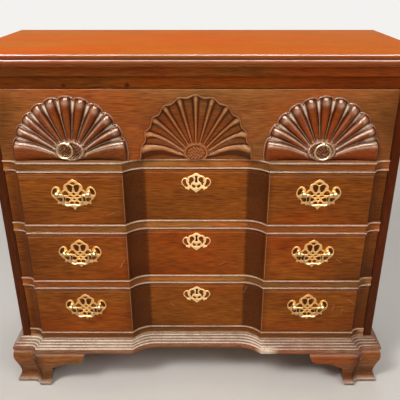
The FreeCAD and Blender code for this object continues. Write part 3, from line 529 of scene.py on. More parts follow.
# The blades' mahogany is lighter and more golden than the front's, partly its own colour and partly a painted
# sheen; its pale rubbing colour paints the beads' highlights.
blade_wood = wood("mahogany_blade", (0.15, 0.048, 0.009, 1), (0.57, 0.232, 0.05, 1), seed=7.4,
                  wear_and_sheen=(0.85, 0.62, 0.45, 1))
BLADES = {1: ("blade_1", 24, 0, 0), 2: ("blade_2", 24, 0, 0), 3: ("blade_3", 24, 0, 0),
          4: ("bottom_rail", 23, 0.72, 0.9)}
for number, (node_name, tall, least, chipped) in BLADES.items():
    ceiling = OPENINGS[number][0]
    rail_grid = blocked_sweep(beaded(ceiling - tall, ceiling), RAIL_DEPTH, OPENING_HALF)
    rail = capped(f"rail_{number}", rail_grid,
                  marks=rail_marks(rail_grid, ceiling - tall, ceiling, least, chipped))
    fitted(rail, blade_wood, "case", node_name)

# ---------------------------------------------------------------------------------------------
# The base: a frame mitred round the case's foot, moulded with four narrow reeds that step out to
# a flat fillet. It has taken knocks: rubbing has taken the lacquer off its crests and a splinter is
# out. Its crests also carry a painted sheen, stronger to the left, and painted shade lies between.
# ---------------------------------------------------------------------------------------------
BASE_FLOOR = 101.0
BASE_TOP = 129.0
BASE_INNER = 388.0
BASE_DEPTH = 50.0
REED_FOOT = 110.9
REED_PITCH = 4.45
# Places along the base where the crests are paler: wear together with painted sheen.
BASE_WEAR_AND_SHEEN = ((150, 24, 0.9), (-205, 40, 0.7), (-400, 40, 0.3), (60, 50, 0.2))


def base_profile():
    """The fillet with rounded edges, then four reeds, each a half round further in."""
    reeds = [arc((18.4 - 5.4 * step, 113.2 + REED_PITCH * step), (2.9, 2.25), -50, 95, 8)
             for step in range(4)]
    return np.concatenate([arc((21.5, 102.5), (1.5, 1.5), -90, 0, 4), arc((21.2, 109), (1.8, 1.8), 0, 80, 5),
                           *reeds, [(1.2, BASE_TOP), (0, BASE_TOP)]])


def base_marks(grid):
    """Lightening on the crests of the reeds, wear with a painted sheen, worst about one chip and
    stronger to the left, and darkening between them, glazing with painted shade.

    The crests are the high part of a cosine up the reeds and the darkening its low part.
    """
    across, _, height = np.moveaxis(grid, -1, 0)
    phase = np.cos(2 * np.pi * ((height - REED_FOOT) / REED_PITCH - 0.6))
    crests = np.clip(1.1 + 0.9 * phase, 0, 1) * (height > REED_FOOT)
    wear_and_sheen = sum(deep * bell(across, place, width) for place, width, deep in BASE_WEAR_AND_SHEEN)
    # A painted sheen, stronger to the left.
    sheen_towards_left = 0.86 - 0.4 * np.clip(across / 440, -1, 1)
    chip = np.clip(1.6 * bell(across, 172, 22) - 0.3, 0, 1.2) * (height < 117)
    # Pale crests: wear with a painted sheen. Dark grooves: glazing with painted shade.
    return {"rubbing_and_highlight": np.maximum(crests * (sheen_towards_left + wear_and_sheen), chip),
            "hollow": 0.8 * np.clip(-0.05 - phase, 0, 1) * (height > 110)}


base_shape = base_profile()
base_front = blocked_sweep(base_shape, BASE_DEPTH, CASE_HALF + base_shape[:, 0])
base_front[:, -3:-1, 0] = np.clip(base_front[:, -3:-1, 0], -BASE_INNER, BASE_INNER)
# The base's mahogany and its pale rubbing colour are paler than the front's: wear and a painted sheen.
base_look = {"light": (0.45, 0.22, 0.12, 1), "wear_and_sheen": (0.78, 0.62, 0.48, 1)}
base_wood = wood("mahogany_base", seed=9.5, **base_look)
base = capped("base_moulding", base_front, marks=base_marks(base_front))
fitted(base, base_wood, "case", "base_molding_front")
base_wood_deep = wood("mahogany_base_return", turn=ALONG_Y, seed=9.9, **base_look)
for side, sign in SIDES:
    outer = lifted(side_corners(sign, base_shape[:, 0], CASE_DEPTH), base_shape)
    inner = points(sign * BASE_INNER, [[BASE_DEPTH], [CASE_DEPTH]], [BASE_TOP, BASE_FLOOR])
    return_grid = np.concatenate([outer, inner, outer[:, :1]], axis=1)
    base_return = capped(f"base_return_{side}", return_grid, marks=base_marks(return_grid))
    fitted(base_return, base_wood_deep, "case", f"base_molding_{side}")

# ---------------------------------------------------------------------------------------------
# The feet: ogee brackets. The front pair carry the blocking down to the floor and are mitred at
# the corner; the rear pair have a plain board behind. A glue block stands inside each corner.
# ---------------------------------------------------------------------------------------------
FOOT_HEIGHT = 101.0
BASE_REACH = 23.0
FOOT_BOARD = 6.0
REAR_BOARD = 12.0
GLUE_BLOCK = 40.0
GLUE_BLOCK_FOOT = 6.0
OGEE = [(0, 19), (2.5, 22.4), (6.5, 24), (11, 22.6), (15.5, 18.4), (21, 15.2), (30, 14.4), (40, 15.6),
        (58, 20), (72, 24), (82, 25), (91, 24.2), (97, 22.4), (101, 20.8)]
BRACKET = [(0, 0), (81, 0), (84, 3), (89, 18.5), (92, 40), (93.5, 50), (95.5, 54.4), (98, 53.8),
           (107.5, 57.5), (113, 61.5), (120, 66), (127, 69), (134, 69.8), (149, 70.6), (160, 71),
           (167, 73), (173, 78), (177, 85), (180, 95), (181, 101)]
RUNS = np.array([81, 82.5, 84, 86.5, 89, 90.5, 92, 93.5, 94.5, 95.5, 98, 102, 107.5, 113, 120, 127, 134,
                 149, 160, 167, 170, 173, 175, 177, 178.5, 180, 181.0])
RISE = np.linspace(1, 0, 22)


def smooth_line(line, count):
    """A Catmull-Rom curve: between two points, a cubic whose slopes come from their neighbours."""
    line = np.asarray(line, float)
    ends = np.concatenate([line[:1] * 2 - line[1:2], line, line[-1:] * 2 - line[-2:-1]])
    share = np.linspace(0, 1, count, endpoint=False)[None, :, None]
    a, b, c, d = (ends[k:len(ends) - 3 + k, None] for k in range(4))
    curve = 0.5 * (2 * b + (c - a) * share + (2 * a - 5 * b + 4 * c - d) * share ** 2
                   + (3 * b - a - 3 * c + d) * share ** 3)
    return np.concatenate([curve.reshape(-1, line.shape[1]), line[-1:]])


def ogee_reach(height):
    """How far a foot's face stands out at a height: a smooth curve through OGEE's (height, reach)."""
    return np.interp(height, *smooth_line(OGEE, 6).T)


def foot_rows(runs):
    """Heights down a foot's face at each run from its corner, (runs, rows), and how far it stands out.

    The face ends below at BRACKET's line of (run, height), with straight stretches between.
    """
    low = np.interp(runs, *np.transpose(BRACKET))[:, None]
    heights = low + (FOOT_HEIGHT - low) * RISE
    return heights, ogee_reach(heights)


def bracket(face, back_x, back_y):
    """A bracket from its face (runs, rows, 3) and its back's x and y, each one or one for each run."""
    behind = face[:, [-1, 0]].copy()
    behind[..., 0] = np.reshape(back_x, (-1, 1))
    behind[..., 1] = np.reshape(back_y, (-1, 1))
    return np.concatenate([face, behind, face[:, :1]], axis=1)


def front_bracket():
    """The blocked face of a front foot and, past the corner, its side, on the right."""
    heights, reach = foot_rows(RUNS[::-1])
    block = points(CASE_HALF + BASE_REACH - RUNS[::-1, None], -BLOCK_PROUD - reach, heights)
    pad_heights = FOOT_HEIGHT * RISE
    pad_reach = ogee_reach(pad_heights)
    pad = lifted([*outer_cove(pad_reach, 10), points(CASE_HALF + pad_reach, -pad_reach)],
                 points(pad_reach, pad_heights))
    side_runs = np.concatenate([[30, 50, 70], RUNS])
    heights, reach = foot_rows(side_runs)
    side = points(CASE_HALF + reach, side_runs[:, None] - BASE_REACH, heights)
    face = np.concatenate([block, pad, side])
    back_x = np.minimum(face[:, 0, 0], CASE_HALF - FOOT_BOARD)
    return bracket(face, back_x, np.maximum(face[:, 0, 1], FOOT_BOARD))


def rear_bracket():
    """The side of a rear foot, on the right, from its front end to its back."""
    runs = np.concatenate([RUNS[::-1], [60, 40, BASE_REACH]])
    heights, reach = foot_rows(runs)
    depth = CASE_DEPTH + BASE_REACH - runs
    return bracket(points(CASE_HALF + reach, depth[:, None], heights), CASE_HALF - FOOT_BOARD, depth)


def back_board():
    """The plain bracket across the back of a rear foot, on the right."""
    runs = np.concatenate([RUNS[::-1], [60, BASE_REACH + FOOT_BOARD]])
    across = CASE_HALF + BASE_REACH - runs
    return bracket(points(across[:, None], CASE_DEPTH, foot_rows(runs)[0]), across, CASE_DEPTH - REAR_BOARD)


def glue_block(back):
    """The block glued into a foot's corner, on the right, from `back` of the face plane."""
    inside = CASE_HALF - FOOT_BOARD
    return block_grid((inside - GLUE_BLOCK, back, GLUE_BLOCK_FOOT), (inside, back + GLUE_BLOCK, FOOT_HEIGHT))


def foot_marks(grid):
    """Dark and light marks on a foot.

    Painted shade, with some glazing, lies in its waist, along its lowest edge and down the cove
    beside its block; a painted highlight, with some wear, lies at its toe and its head.
    """
    across, depth, height = np.moveaxis(grid, -1, 0)
    waist = np.maximum(0.6 * bell(height, 30, 14), 0.7 * ramp(height, 4, 0))
    cove = 0.85 * bell(np.abs(across), 402, 10) * (depth < 0)
    return np.maximum(waist, cove), 0.75 * bell(height, 10, 4) + 0.35 * bell(height, 96, 3)


# Its pale rubbing colour paints the highlights at the toe and head.
foot_wood = wood("mahogany_foot", (0.05, 0.014, 0.002, 1), (0.38, 0.132, 0.024, 1), seed=11.2, coat=0.3,
                 polish=0.14, wear_and_sheen=(0.6, 0.44, 0.35, 1))
FEET = {"front": [front_bracket(), glue_block(FOOT_BOARD)],
        "rear": [rear_bracket(), back_board(), glue_block(CASE_DEPTH - REAR_BOARD - GLUE_BLOCK)]}
for side, sign in SIDES:
    for end, drawn in FEET.items():
        grids = [grid * (sign, 1, 1) for grid in drawn]
        caps = [cap for grid in grids for cap in (grid[0, :-1], grid[-1, :-1])]
        # Painted shade with glazing, and painted highlights with some wear.
        glaze_and_shade, foot_highlights_and_wear = zip(*(foot_marks(grid) for grid in grids))
        foot = solid(f"{end}_foot_{side}", grids, caps, marks={"hollow": glaze_and_shade, "rubbing_and_highlight": foot_highlights_and_wear}, crease=32)
        fitted(foot, foot_wood, "case", f"foot_{end}_{side}")

# ---------------------------------------------------------------------------------------------
# The three lower drawers: fronts worked from thick boards to the blocked line, so that a dark
# hollow stands at each side of the recess; poplar sides, back and bottom behind.
# ---------------------------------------------------------------------------------------------
DRAWER_HALF = OPENING_HALF - 1.2
FRONT_THICKNESS = 32.0
HANDLE_PLACE = 267.5
POST_RISE = 77.5
SCRATCHES = {2: [(-190, 470, 22, 0.3)],
             3: [(-172, 345, 26, 1.1), (-176, 338, 14, 0.8), (60, 330, 18, 0.4), (330, 352, 20, 2.6)],
             4: [(118, 258, 24, 1.2), (330, 222, 22, 1.4), (352, 214, 18, 1.3), (372, 240, 26, 2.5),
                 (300, 192, 20, 0.5), (-60, 215, 16, 2.4)]}
# Wax behind each backplate, which also paints the shade in its piercings.
PLATE_WAX_AND_SHADE = [(0, -1, 18, 24), (0, -17, 36, 11), (-38.5, 0, 9, 11), (38.5, 0, 9, 11)]


def front_stains_and_shade(floor, ceiling):
    """Wax behind a drawer's plates and round its keyhole, with painted shade in their openings.

    The drawer also gets darker towards its lower corners and the foot of its middle.
    """
    behind_plates = [(sign * HANDLE_PLACE + x, floor + POST_RISE + z, wide, high, 0.75, 0.8)
                     for _, sign in SIDES for x, z, wide, high in PLATE_WAX_AND_SHADE]
    # Wax round the keyhole plate, and painted shade in the keyhole itself.
    keyhole_wax_and_shade = [(0, ceiling - 31, 30, 17, 0.5, 0.8), (0, ceiling - 24, 4, 10, 1, 0.8)]
    # Darker towards the lower corners and the foot of the middle.
    corners = [(sign * 400, floor, 130, 90, 0.45, 0) for _, sign in SIDES]
    return behind_plates + keyhole_wax_and_shade + [(-110, floor, 130, 75, 0.4, 0)] + corners


for number in (2, 3, 4):
    floor, ceiling = OPENINGS[number]
    heights = [floor + 0.3, floor + 4, ceiling - 9.5, ceiling - 8.2, ceiling - 7, ceiling - 5.8, ceiling - 2]
    front_grid = blocked_sweep([(0, height) for height in heights], FRONT_THICKNESS, DRAWER_HALF)
    # Painted shade, with glazing, in the coves beside the recess.
    glaze_and_shade = cove_glaze_and_shade(front_grid)
    bright = np.zeros(glaze_and_shade.shape)
    # A painted highlight: a thin light line 8.2 mm below the top edge.
    bright[:, 3] = 0.34 * (1 - glaze_and_shade[:, 3])
    # Painted shade along the foot, and a painted shadow under the blade along the top edge.
    glaze_and_shade[:, [0, -2, -1]] = np.maximum(glaze_and_shade[:, [0, -2, -1]], (0.4, 0.8, 0.95))
    drawer_front = capped(f"front_{number}", front_grid, marks={"hollow": glaze_and_shade, "rubbing_and_highlight": bright}, bevel=1.1)
    # Painted highlights down the blocks' inner arrises, drawn as pale lines.
    arris_highlights = [(sign * (BLOCK_INNER + 0.7), (floor + ceiling) / 2, (ceiling - floor) * 1.1, math.pi / 2, 0.3)
               for _, sign in SIDES]
    front_wood = wood(f"mahogany_drawer_{number}", seed=12.0 + 2.7 * number,
                      scratches_and_highlights=SCRATCHES[number] + arris_highlights, stains_and_shade=front_stains_and_shade(floor, ceiling))
    fitted(drawer_front, front_wood, f"drawer_{number}", f"drawer_{number}_front")
for number in OPENINGS:
    finish(poplar_deep, f"drawer_{number}_sides")
    finish(poplar_across, f"drawer_{number}_back", f"drawer_{number}_bottom")

# ---------------------------------------------------------------------------------------------
# The top drawer: a flat front with three scallop shells. The two outer ones are carved from
# blocks and glued on; the middle one is cut into the board inside a doubly scratched outline.
# ---------------------------------------------------------------------------------------------
SHELL_BASE = 590.3
SHELL_PLACE = 267.0
SHELL_REACH = (124.5, 131.0)
SHELL_RISE = 7.0
SUNK_REACH = (116.0, 131.5)
SUNK_RISE = 5.0
FRONT_TOP = 740.5
PITCH = 15.1
SUNK_PITCH = 15.7
LOBES_EACH_SIDE = 5
LOWEST_SPREAD = 23.5
STEEP = 0.97
INNERMOST = 0.5
LIP = ((0.5, 0), (3.1, 0), (4.1, 0.9), (5.1, 0))
EDGE = ((0.5, 0, 0), (1, 1.2, 0), (1, 0.35, 0.35), (1, 0, 1.2), (1, 0, FRONT_THICKNESS))
# Its pale rubbing colour paints the carving's highlights.
shell_wood = wood("mahogany_shell", (0.075, 0.016, 0.002, 1), (0.29, 0.08, 0.008, 1), seed=21.0, coat=0.28,
                  polish=0.12, wear_and_sheen=(0.82, 0.68, 0.5, 1))


def dome(share):
    """The height of a unit circle at a share of its radius from its middle."""
    return np.sqrt(np.clip(1 - share ** 2, 0, 1))


def above_level(angle):
    """How far an angle from the right, in degrees, is above the level on its own side."""
    return np.minimum(angle, 180 - angle)


def lobe_place(angle, pitch):
    """For an angle from the right: the lobe's share (-1 to 1) there and half the lobe's angle.

    A lobe's crest is its share 0 and the flutes beside it are its shares -1 and 1. The lowest
    lobe's lower side is wider than the rest: it runs down to the shell's foot.
    """
    above = above_level(angle)
    lobe = np.clip(np.round((above - 90) / pitch), -LOBES_EACH_SIDE, 0)
    away = above - 90 - pitch * lobe
    half = np.where((lobe == -LOBES_EACH_SIDE) & (away < 0), LOWEST_SPREAD, pitch / 2)
    return np.clip(away / half, -1, 1), half


def oval_rim(angle, reach):
    """The radius at an angle of an ellipse of half width and height `reach`."""
    turn = np.radians(angle)
    return 1 / np.hypot(np.cos(turn) / reach[0], np.sin(turn) / reach[1])


def bent(angle, reach, most):
    """The angle that a ray has before the low lobes are arched upwards, by up to `most` degrees."""
    above = above_level(angle)
    arch = np.interp(reach, [0.2, 0.3, 0.45, 0.6, 0.8, 1], [-0.9, -0.3, 0.7, 1, 0.6, -0.4])
    return above - most * arch * ramp(above, 52, 14)


def foot_limit(angle, rise):
    """How far a ray from `rise` above the shell's foot goes before it meets the foot."""
    down = -np.sin(np.radians(angle))
    return np.where(down > 1e-6, rise / np.maximum(down, 1e-6), 1e6)


def stippled(across, up):
    """The pattern of a punched ground, from -1 to 1: waves across and up, bent by one another."""
    return np.sin(0.85 * across + 0.8 * np.sin(0.5 * up)) * np.sin(0.95 * up + 0.8 * np.sin(0.6 * across))


def raised_height(across, up, angle, rim):
    """Relief of an applied shell from its springing point, and its dark and light marks.

    Each lobe's crest climbs outwards in an S and drops in a quarter round at the rim. Across, a
    lobe is half an ellipse, and between two lobes lies a hollow flute that widens outwards to a
    cup. An oval boss with a beaded rim and a punched middle covers the place where they meet.
    """
    radius = np.maximum(np.hypot(across, up), INNERMOST)
    reach = radius / rim
    share, half = lobe_place(bent(angle, reach, 3.2), PITCH)
    lowest = half > PITCH / 2
    pitch = radius * np.radians(PITCH / 2)
    flute = pitch * np.interp(reach, [0.25, 0.6, 0.85, 1], [0.26, 0.3, 0.4, 0.46])
    side = np.abs(share) * pitch
    flank = pitch - flute
    turn = np.clip(side / flank, 0, 1)
    inside = np.clip((side - flank) / flute, 0, 1)
    crest = np.interp(reach, [0, 0.24, 0.32, 0.45, 0.62, 0.8, 0.9, 1],
                      [6, 6.2, 7, 9.4, 12.8, 15.8, 16.6, 16.6])
    fall = (1 - dome(STEEP * turn)) / (1 - dome(STEEP))
    fluted = crest - 0.5 * pitch * fall - 0.42 * flute * dome(1 - inside)
    height = np.where(lowest, crest - 1.9 * pitch * (1 - dome(share)), fluted)
    height = 2.5 + (height - 2.5) * dome(1 - ramp(radius, rim, rim - np.where(lowest, 14, 25)))

    punched = stippled(across, up)
    oval = np.hypot(across / 30, (up - 14.5) / 21.5)
    ring = bell(oval, 0.9, 0.085)
    beads = 8.4 + 1.5 * np.abs(np.sin(np.arctan2(up - 14.5, across) * 12))
    boss = (6.3 + 0.9 * punched) * (1 - ring) + beads * ring
    within = ramp(oval, 1.06, 0.98)

    # Painted shade, with some glazing: dark lines along the flutes' edges, dark flutes that fade towards
    # their cups, a dark band inside the rim and dark punches on the boss; a lighter seam down each flute is a
    # painted highlight.
    line = bell(side, flank + 0.6, np.interp(reach, [0.3, 1], [0.9, 2.1]))
    depths = inside * np.interp(reach, [0.3, 0.7, 0.88], [0.95, 0.75, 0])
    seam = 0.3 * bell(side, pitch, 0.8) * (reach > 0.3) * (reach < 0.8)
    dark = np.clip(1.2 * line + depths - seam, 0, 1) * ~lowest * (1 - within)
    dark = np.maximum(dark, 0.95 * bell(reach, 0.975, 0.013))
    dark += within * np.clip(0.4 - 0.9 * punched, 0, 1) * (oval < 0.8)

    # Painted highlights, with some wear on the tips: the lobes' tips and rim, a line along each lower lobe's
    # upper flank, the flutes' cups, the boss's ring and punches and the lobes' ends round it.
    tips = 0.4 * bell(reach, 0.9, 0.04) * (1 - 0.8 * turn) * ~lowest + 0.4 * (reach > 0.992)
    below = np.where(lowest & (share < 0), 1.5, 1)
    width = np.interp(reach, [0.3, 1], [1.1, 2.6])
    ridge_highlight = bell(share * below * pitch, np.where(lowest, 0.5, 0.32 * pitch), width)
    ridge_highlight *= ramp(above_level(angle), 70, 30) * (reach > 0.27) * (reach < 0.95)
    cup_highlights = np.clip(inside * 2.2 - 1, 0, 1) * ramp(reach, 0.74, 0.86) * (reach < 0.965)
    shell_wear_and_highlights = np.maximum.reduce([tips, 0.64 * ridge_highlight, seam * ~lowest, cup_highlights])
    ground = 0.45 * ring + 0.25 * (1 - ring) * np.clip(punched, 0, 1)
    ends = 0.5 * bell(oval, 1.16, 0.08) * bell(turn, 0, 0.6) * (side < flank)
    light = np.maximum(shell_wear_and_highlights * (1 - within) + ground * within, ends)
    return height * (1 - within) + boss * within, dark, light


def raised_shell():
    """An applied shell about x = 0: the carved face and, behind it, its flat back."""
    heel = np.degrees(np.arcsin(SHELL_RISE / SHELL_REACH[0]))
    fine = np.linspace(-heel - 0.01, 180 + heel + 0.01, 560)
    coarse = np.linspace(180.4 + heel, 359.6 - heel, 70)
    angle = np.mod(np.concatenate([fine, coarse, fine[:1] + 360]) + 90, 360) - 90
    turn = np.radians(angle)
    share, _ = lobe_place(angle, PITCH)
    natural = oval_rim(angle, SHELL_REACH) - 8.5 * (1 - dome(share))
    rays = np.concatenate([np.linspace(0, 0.42, 54), np.linspace(0.43, 0.88, 34), np.linspace(0.89, 1, 15)])
    radius = rays[:, None] * np.minimum(natural, foot_limit(angle, SHELL_RISE))
    across, up = radius * np.cos(turn), radius * np.sin(turn)
    height, dark, light = raised_height(across, up, angle, natural)
    face = points(across, -height, up + SHELL_RISE + SHELL_BASE)
    back = face[-1:] * (1, 0, 1)
    centre = np.zeros_like(back) + (0, 0, SHELL_BASE + SHELL_RISE)
    bare = np.zeros((2, len(angle)))
    marks = {"hollow": np.concatenate([dark, bare]), "rubbing_and_highlight": np.concatenate([light, bare])}
    return np.concatenate([face, back, centre]), marks


shell_grid, shell_marks = raised_shell()
for side, sign in SIDES:
    grid = shell_grid * (sign, 1, 1) + (sign * SHELL_PLACE, 0, 0)
    shell = solid(f"carved_shell_{side}", [grid], marks=shell_marks, crease=70)
    fitted(shell, shell_wood, "drawer_1", f"shell_{side}")


def sunk_depth(across, up, angle, rim):
    """Depth of the middle shell below the board, and its dark and light marks.

    A narrow rib runs down the middle of each lobe between two grooves, and a low round band lies
    between one lobe's grooves and the next. The ribs are broader towards the foot. A boss with a
    plain rim and a punched middle, its foot cut off by the board's edge, is left where they meet.
    """
    radius = np.maximum(np.hypot(across, up), INNERMOST)
    reach = radius / rim
    dish = np.interp(reach, [0, 0.3, 0.6, 0.85, 0.95, 1], [8.5, 8.4, 7.6, 5.6, 4.4, 1.2])
    share, half = lobe_place(bent(angle, reach, 5.0), SUNK_PITCH)
    slope = ramp(above_level(angle), 52, 18)
    pitch = radius * np.radians(half)
    away = np.abs(share) * pitch
    rib = pitch * np.interp(reach, [0.2, 0.5, 0.85, 1], [0.32, 0.21, 0.17, 0.24]) * (1 + 0.75 * slope)
    rib = np.minimum(rib, 0.3 * radius * np.radians(SUNK_PITCH))
    grow = np.interp(reach, [0.2, 0.9, 1], [0.35, 1, 0.5])
    crown = (2.6 + 1.6 * slope) * dome(away / (1.25 * rib))
    band = 1.7 * dome((pitch - away) / np.maximum(pitch - 1.7 * rib, 0.5))
    depth = dish + grow * (1.4 - crown - band)

    punched = stippled(across, up)
    oval = np.hypot(across / 26, (up + SUNK_RISE - 15) / 20)
    ring = bell(oval, 0.93, 0.05)
    boss = 2.6 - 0.5 * punched * (1 - ring) - 1.9 * ring
    within = ramp(oval, 1.05, 0.99)
    middle = oval < 0.72

    # Painted shade, with glazing, in the grooves and less on the bands, and a dark ring inside the boss.
    place = np.clip((away - rib) / np.maximum(pitch - rib, 0.3), 0, 1)
    dark = np.interp(place, [0, 0.12, 0.38, 0.56, 1], [0.1, 0.97, 0.95, 0.45, 0.36]) * (1 - within)
    dark += within * (0.7 * bell(oval, 0.76, 0.06) + np.clip(0.3 - 0.5 * punched, 0, 1) * middle)
    # Painted highlights on the ribs, stronger near the rim and on the low ones, along the low ribs' upper
    # flanks and on the boss's ring and punches.
    light = 0.34 * bell(away, 0, 0.75 * rib) * (1 + 0.8 * bell(reach, 0.93, 0.04) + slope)
    upper_highlight = bell(np.sign(share) * away, 0.5 * rib, 1.6) * slope * ramp(reach, 0.35, 0.65)
    light = np.maximum(light, 0.6 * upper_highlight * (reach < 0.96))
    ground = 0.55 * ring + 0.45 * np.clip(0.3 + 0.7 * punched, 0, 1) * middle
    return depth * (1 - within) + boss * within, np.clip(dark, 0, 1), light * (1 - within) + ground * within


def top_front():
    """The top drawer's front, out from the shell's springing point to the board's edges.

    A ray that leaves through the board's foot inside the shell ends there. Past the shell come a
    plain lip, a scratched line, the flat of the board and its softened edge.
    """
    low = -SUNK_RISE
    high = FRONT_TOP - SHELL_BASE - SUNK_RISE
    corners = np.degrees(np.arctan2([low, high], DRAWER_HALF))
    angle = np.concatenate([np.linspace(-90, -9, 110), np.linspace(-8.7, 90, 330), corners])
    angle = np.unique(np.concatenate([angle, 180 - angle]))
    turn = np.radians(angle)
    share, _ = lobe_place(angle, SUNK_PITCH)
    scallops = 2.7 * (1 - np.cos(np.pi * share)) * (np.sin(turn) > 0)
    natural = oval_rim(angle, SUNK_REACH) - scallops + 3 * ramp(np.abs(np.sin(turn)), 0.25, 0)
    border = np.minimum.reduce([DRAWER_HALF / np.maximum(np.abs(np.cos(turn)), 1e-9),
                                foot_limit(angle, SUNK_RISE), foot_limit(-angle, high)])
    rim = np.minimum(natural, border)
    rays = np.concatenate([np.linspace(0, 0.3, 26), np.linspace(0.315, 0.94, 46), np.linspace(0.95, 1, 9)])
    last = len(rays)
    across, up = rays[:, None] * rim * np.cos(turn), rays[:, None] * rim * np.sin(turn)
    depth, dark, light = sunk_depth(across, up, angle, natural)
    rows = [points(across, depth, up)]
    for out, deep in LIP:
        edge = np.minimum(rim + out, border)
        rows.append(points(edge * np.cos(turn), deep, edge * np.sin(turn))[None])
    for part, inset, deep in EDGE:
        reach = edge + (border - edge) * part
        x = np.clip(reach * np.cos(turn), inset - DRAWER_HALF, DRAWER_HALF - inset)
        rows.append(points(x, deep, np.clip(reach * np.sin(turn), low, high - inset))[None])
    grid = np.concatenate(rows)
    through_foot = border <= natural
    grid[last:-1, through_foot] = grid[last - 1, through_foot]
    grid[..., 2] += SHELL_BASE + SUNK_RISE
    hollow, rubbing_and_highlight = np.zeros((2, *grid.shape[:2]))
    # Painted shade just inside the outline, a little on the lip and full in the scratched line; a painted
    # highlight on the lip.
    hollow[:last] = np.maximum(dark, (rays[:, None] > 0.975) * 0.95)
    hollow[last] = 0.2
    hollow[last + 2] = 1.0
    rubbing_and_highlight[:last] = light
    rubbing_and_highlight[last:last + 2] = 0.14
    return grid, {"hollow": hollow, "rubbing_and_highlight": rubbing_and_highlight}


carved_grid, carved_marks = top_front()
# Its pale rubbing colour paints the ribs' and lip's highlights; the front gets darker towards both ends.
top_drawer_wood = wood("mahogany_drawer_1", (0.1, 0.029, 0.006, 1), (0.39, 0.145, 0.034, 1), seed=31.0,
                       coat=0.16, wear_and_sheen=(0.67, 0.34, 0.15, 1),
                       stains_and_shade=[(sign * 417, 665, 62, 130, 0.6, 0) for _, sign in SIDES])
top_drawer = solid("front_1", [carved_grid], [carved_grid[-1, :-1]], marks=carved_marks, crease=50)
fitted(top_drawer, top_drawer_wood, "drawer_1", "drawer_1_front")

# ---------------------------------------------------------------------------------------------
# The brass: pierced backplates and keyhole plates, cast thin and filed, and bails and rings bent
# from rod, thickest at the shoulders of their grip. All of it is lacquered and slightly tarnished.
# ---------------------------------------------------------------------------------------------
BRASS_TARNISH = (0.3, 0.15, 0.05, 1)
PLATE_THICKNESS = 1.8
PLATE_EDGE = 0.35
FILED = 0.8
POST_HEIGHTS = {2: 522.0, 3: 376.5, 4: 231.5}
KEY_PLATE_DROP = 8.5


def brass_finish(name, bright, roughness, seed):
    """Lacquered brass: metal, clouded by tarnish and by the fine unevenness of a casting."""
    material, tree, shader, place = new_material(name)
    vector = node(tree, "Mapping", {"Vector": place, "Location": (seed, seed, seed)})[0]
    clouds = noise(tree, vector, (90, 90, 90), 4, 0.6)
    pits = noise(tree, vector, (900, 900, 900), 3, 0.6)
    bump = node(tree, "Bump", {"Height": pits, "Strength": 0.2, "Distance": 0.0002})
    feed(shader, {"Base Color": mixed(tree, spread(tree, clouds, 0.5, 0.72, 0, 0.55), bright, BRASS_TARNISH),
                  "Roughness": spread(tree, clouds, 0.3, 0.7, roughness - 0.06, roughness + 0.1),
                  "Normal": bump[0], "Metallic": 1.0})
    return material


plate_brass = brass_finish("brass_plate", (0.63, 0.38, 0.15, 1), 0.46, 0.0)
key_brass = brass_finish("brass_keyhole_plate", (0.74, 0.52, 0.26, 1), 0.5, 1.0)
rod_brass = brass_finish("brass_rod", (0.43, 0.35, 0.2, 1), 0.36, 2.0)

PLATE_OUTLINE = [
    [(0, 30.6), (4.9, 27.7), (9.4, 25.2), (12.3, 21.6), (18.2, 18), (20.7, 13), (20.7, 7.2), (24.1, 4.3),
     (27.1, 0.7)],
    [(27.1, 0.7), (28.6, 5.8), (31, 10.8), (36, 13.7), (41.4, 12.6), (46.3, 7.2), (48.8, 0), (47.3, -8.6),
     (40.9, -15.8), (36, -20.2)],
    [(36, -20.2), (37.4, -26.6)],
    [(37.4, -26.6), (33.5, -27), (30, -25.2)],
    [(30, -25.2), (25.6, -29.5), (21.2, -28.1)],
    [(21.2, -28.1), (15.8, -31), (7.9, -33.5), (3.9, -35.3)],
    [(3.9, -35.3), (2.5, -38.2), (0, -40.7)],
]
PLATE_PIERCINGS = [
    [(2.7, 14.6), (7.9, 17.4), (13.6, 15.8), (12.4, 9.4), (9.2, 3), (5.3, 0.8), (2.8, 7.2)],
    [(11.8, -5), (14.8, 0.7), (18.2, 3.2), (22.2, -0.7), (25.6, -5), (18.7, -6.1)],
    [(3.4, -10.8), (6.9, -8.6), (11.3, -8.3), (8.4, -10.8)],
    [(8.9, -15.8), (13.3, -13.7), (17.7, -14.4), (17.7, -20.9), (12.8, -20.5)],
    [(2.2, -23.6), (5, -21.9), (9.2, -24.3), (7.5, -28.5), (2.6, -28.9)],
    [(36.4, 8.6), (41.3, 8.2), (45.4, 1.6), (44.9, -5.2), (40.9, -5), (37.5, 1.2)],
    [(27.1, -13.7), (32, -12.6), (36.9, -13.7), (34, -18.7), (30, -21.6), (27.1, -19.4)],
    [(20.2, -12.2), (23.6, -12.2), (23.9, -20.2), (20.7, -20.2)],
]
PLATE_MIDDLES = [
    [(0, 23.4), (4.9, 20.5), (0, 17.6), (-4.9, 20.5)],
    [(0, -1.4), (2.7, -3.6), (0, -5.8), (-2.7, -3.6)],
    [(0, -14.8), (2, -16.6), (0, -18.4), (-2, -16.6)],
]
ESCUTCHEON_OUTLINE = [
    [(0, -0.8), (3.4, -1.5), (6.6, -3.8), (9.8, -6.2)],
    [(9.8, -6.2), (13.7, -7), (17.6, -9.2), (20.1, -12.9)],
    [(20.1, -12.9), (24.1, -11.5), (28.3, -12.9), (31.8, -17.5), (32.5, -22.5), (30.5, -27.6),
     (26, -31.7), (24.1, -34)],
    [(24.1, -34), (24.4, -36.8), (21.4, -36.8)],
    [(21.4, -36.8), (19.2, -38.6), (16.6, -39.6), (14.6, -36.8), (13, -35)],
    [(13, -35), (7.5, -40.2), (3.2, -43.2), (0, -46)],
]
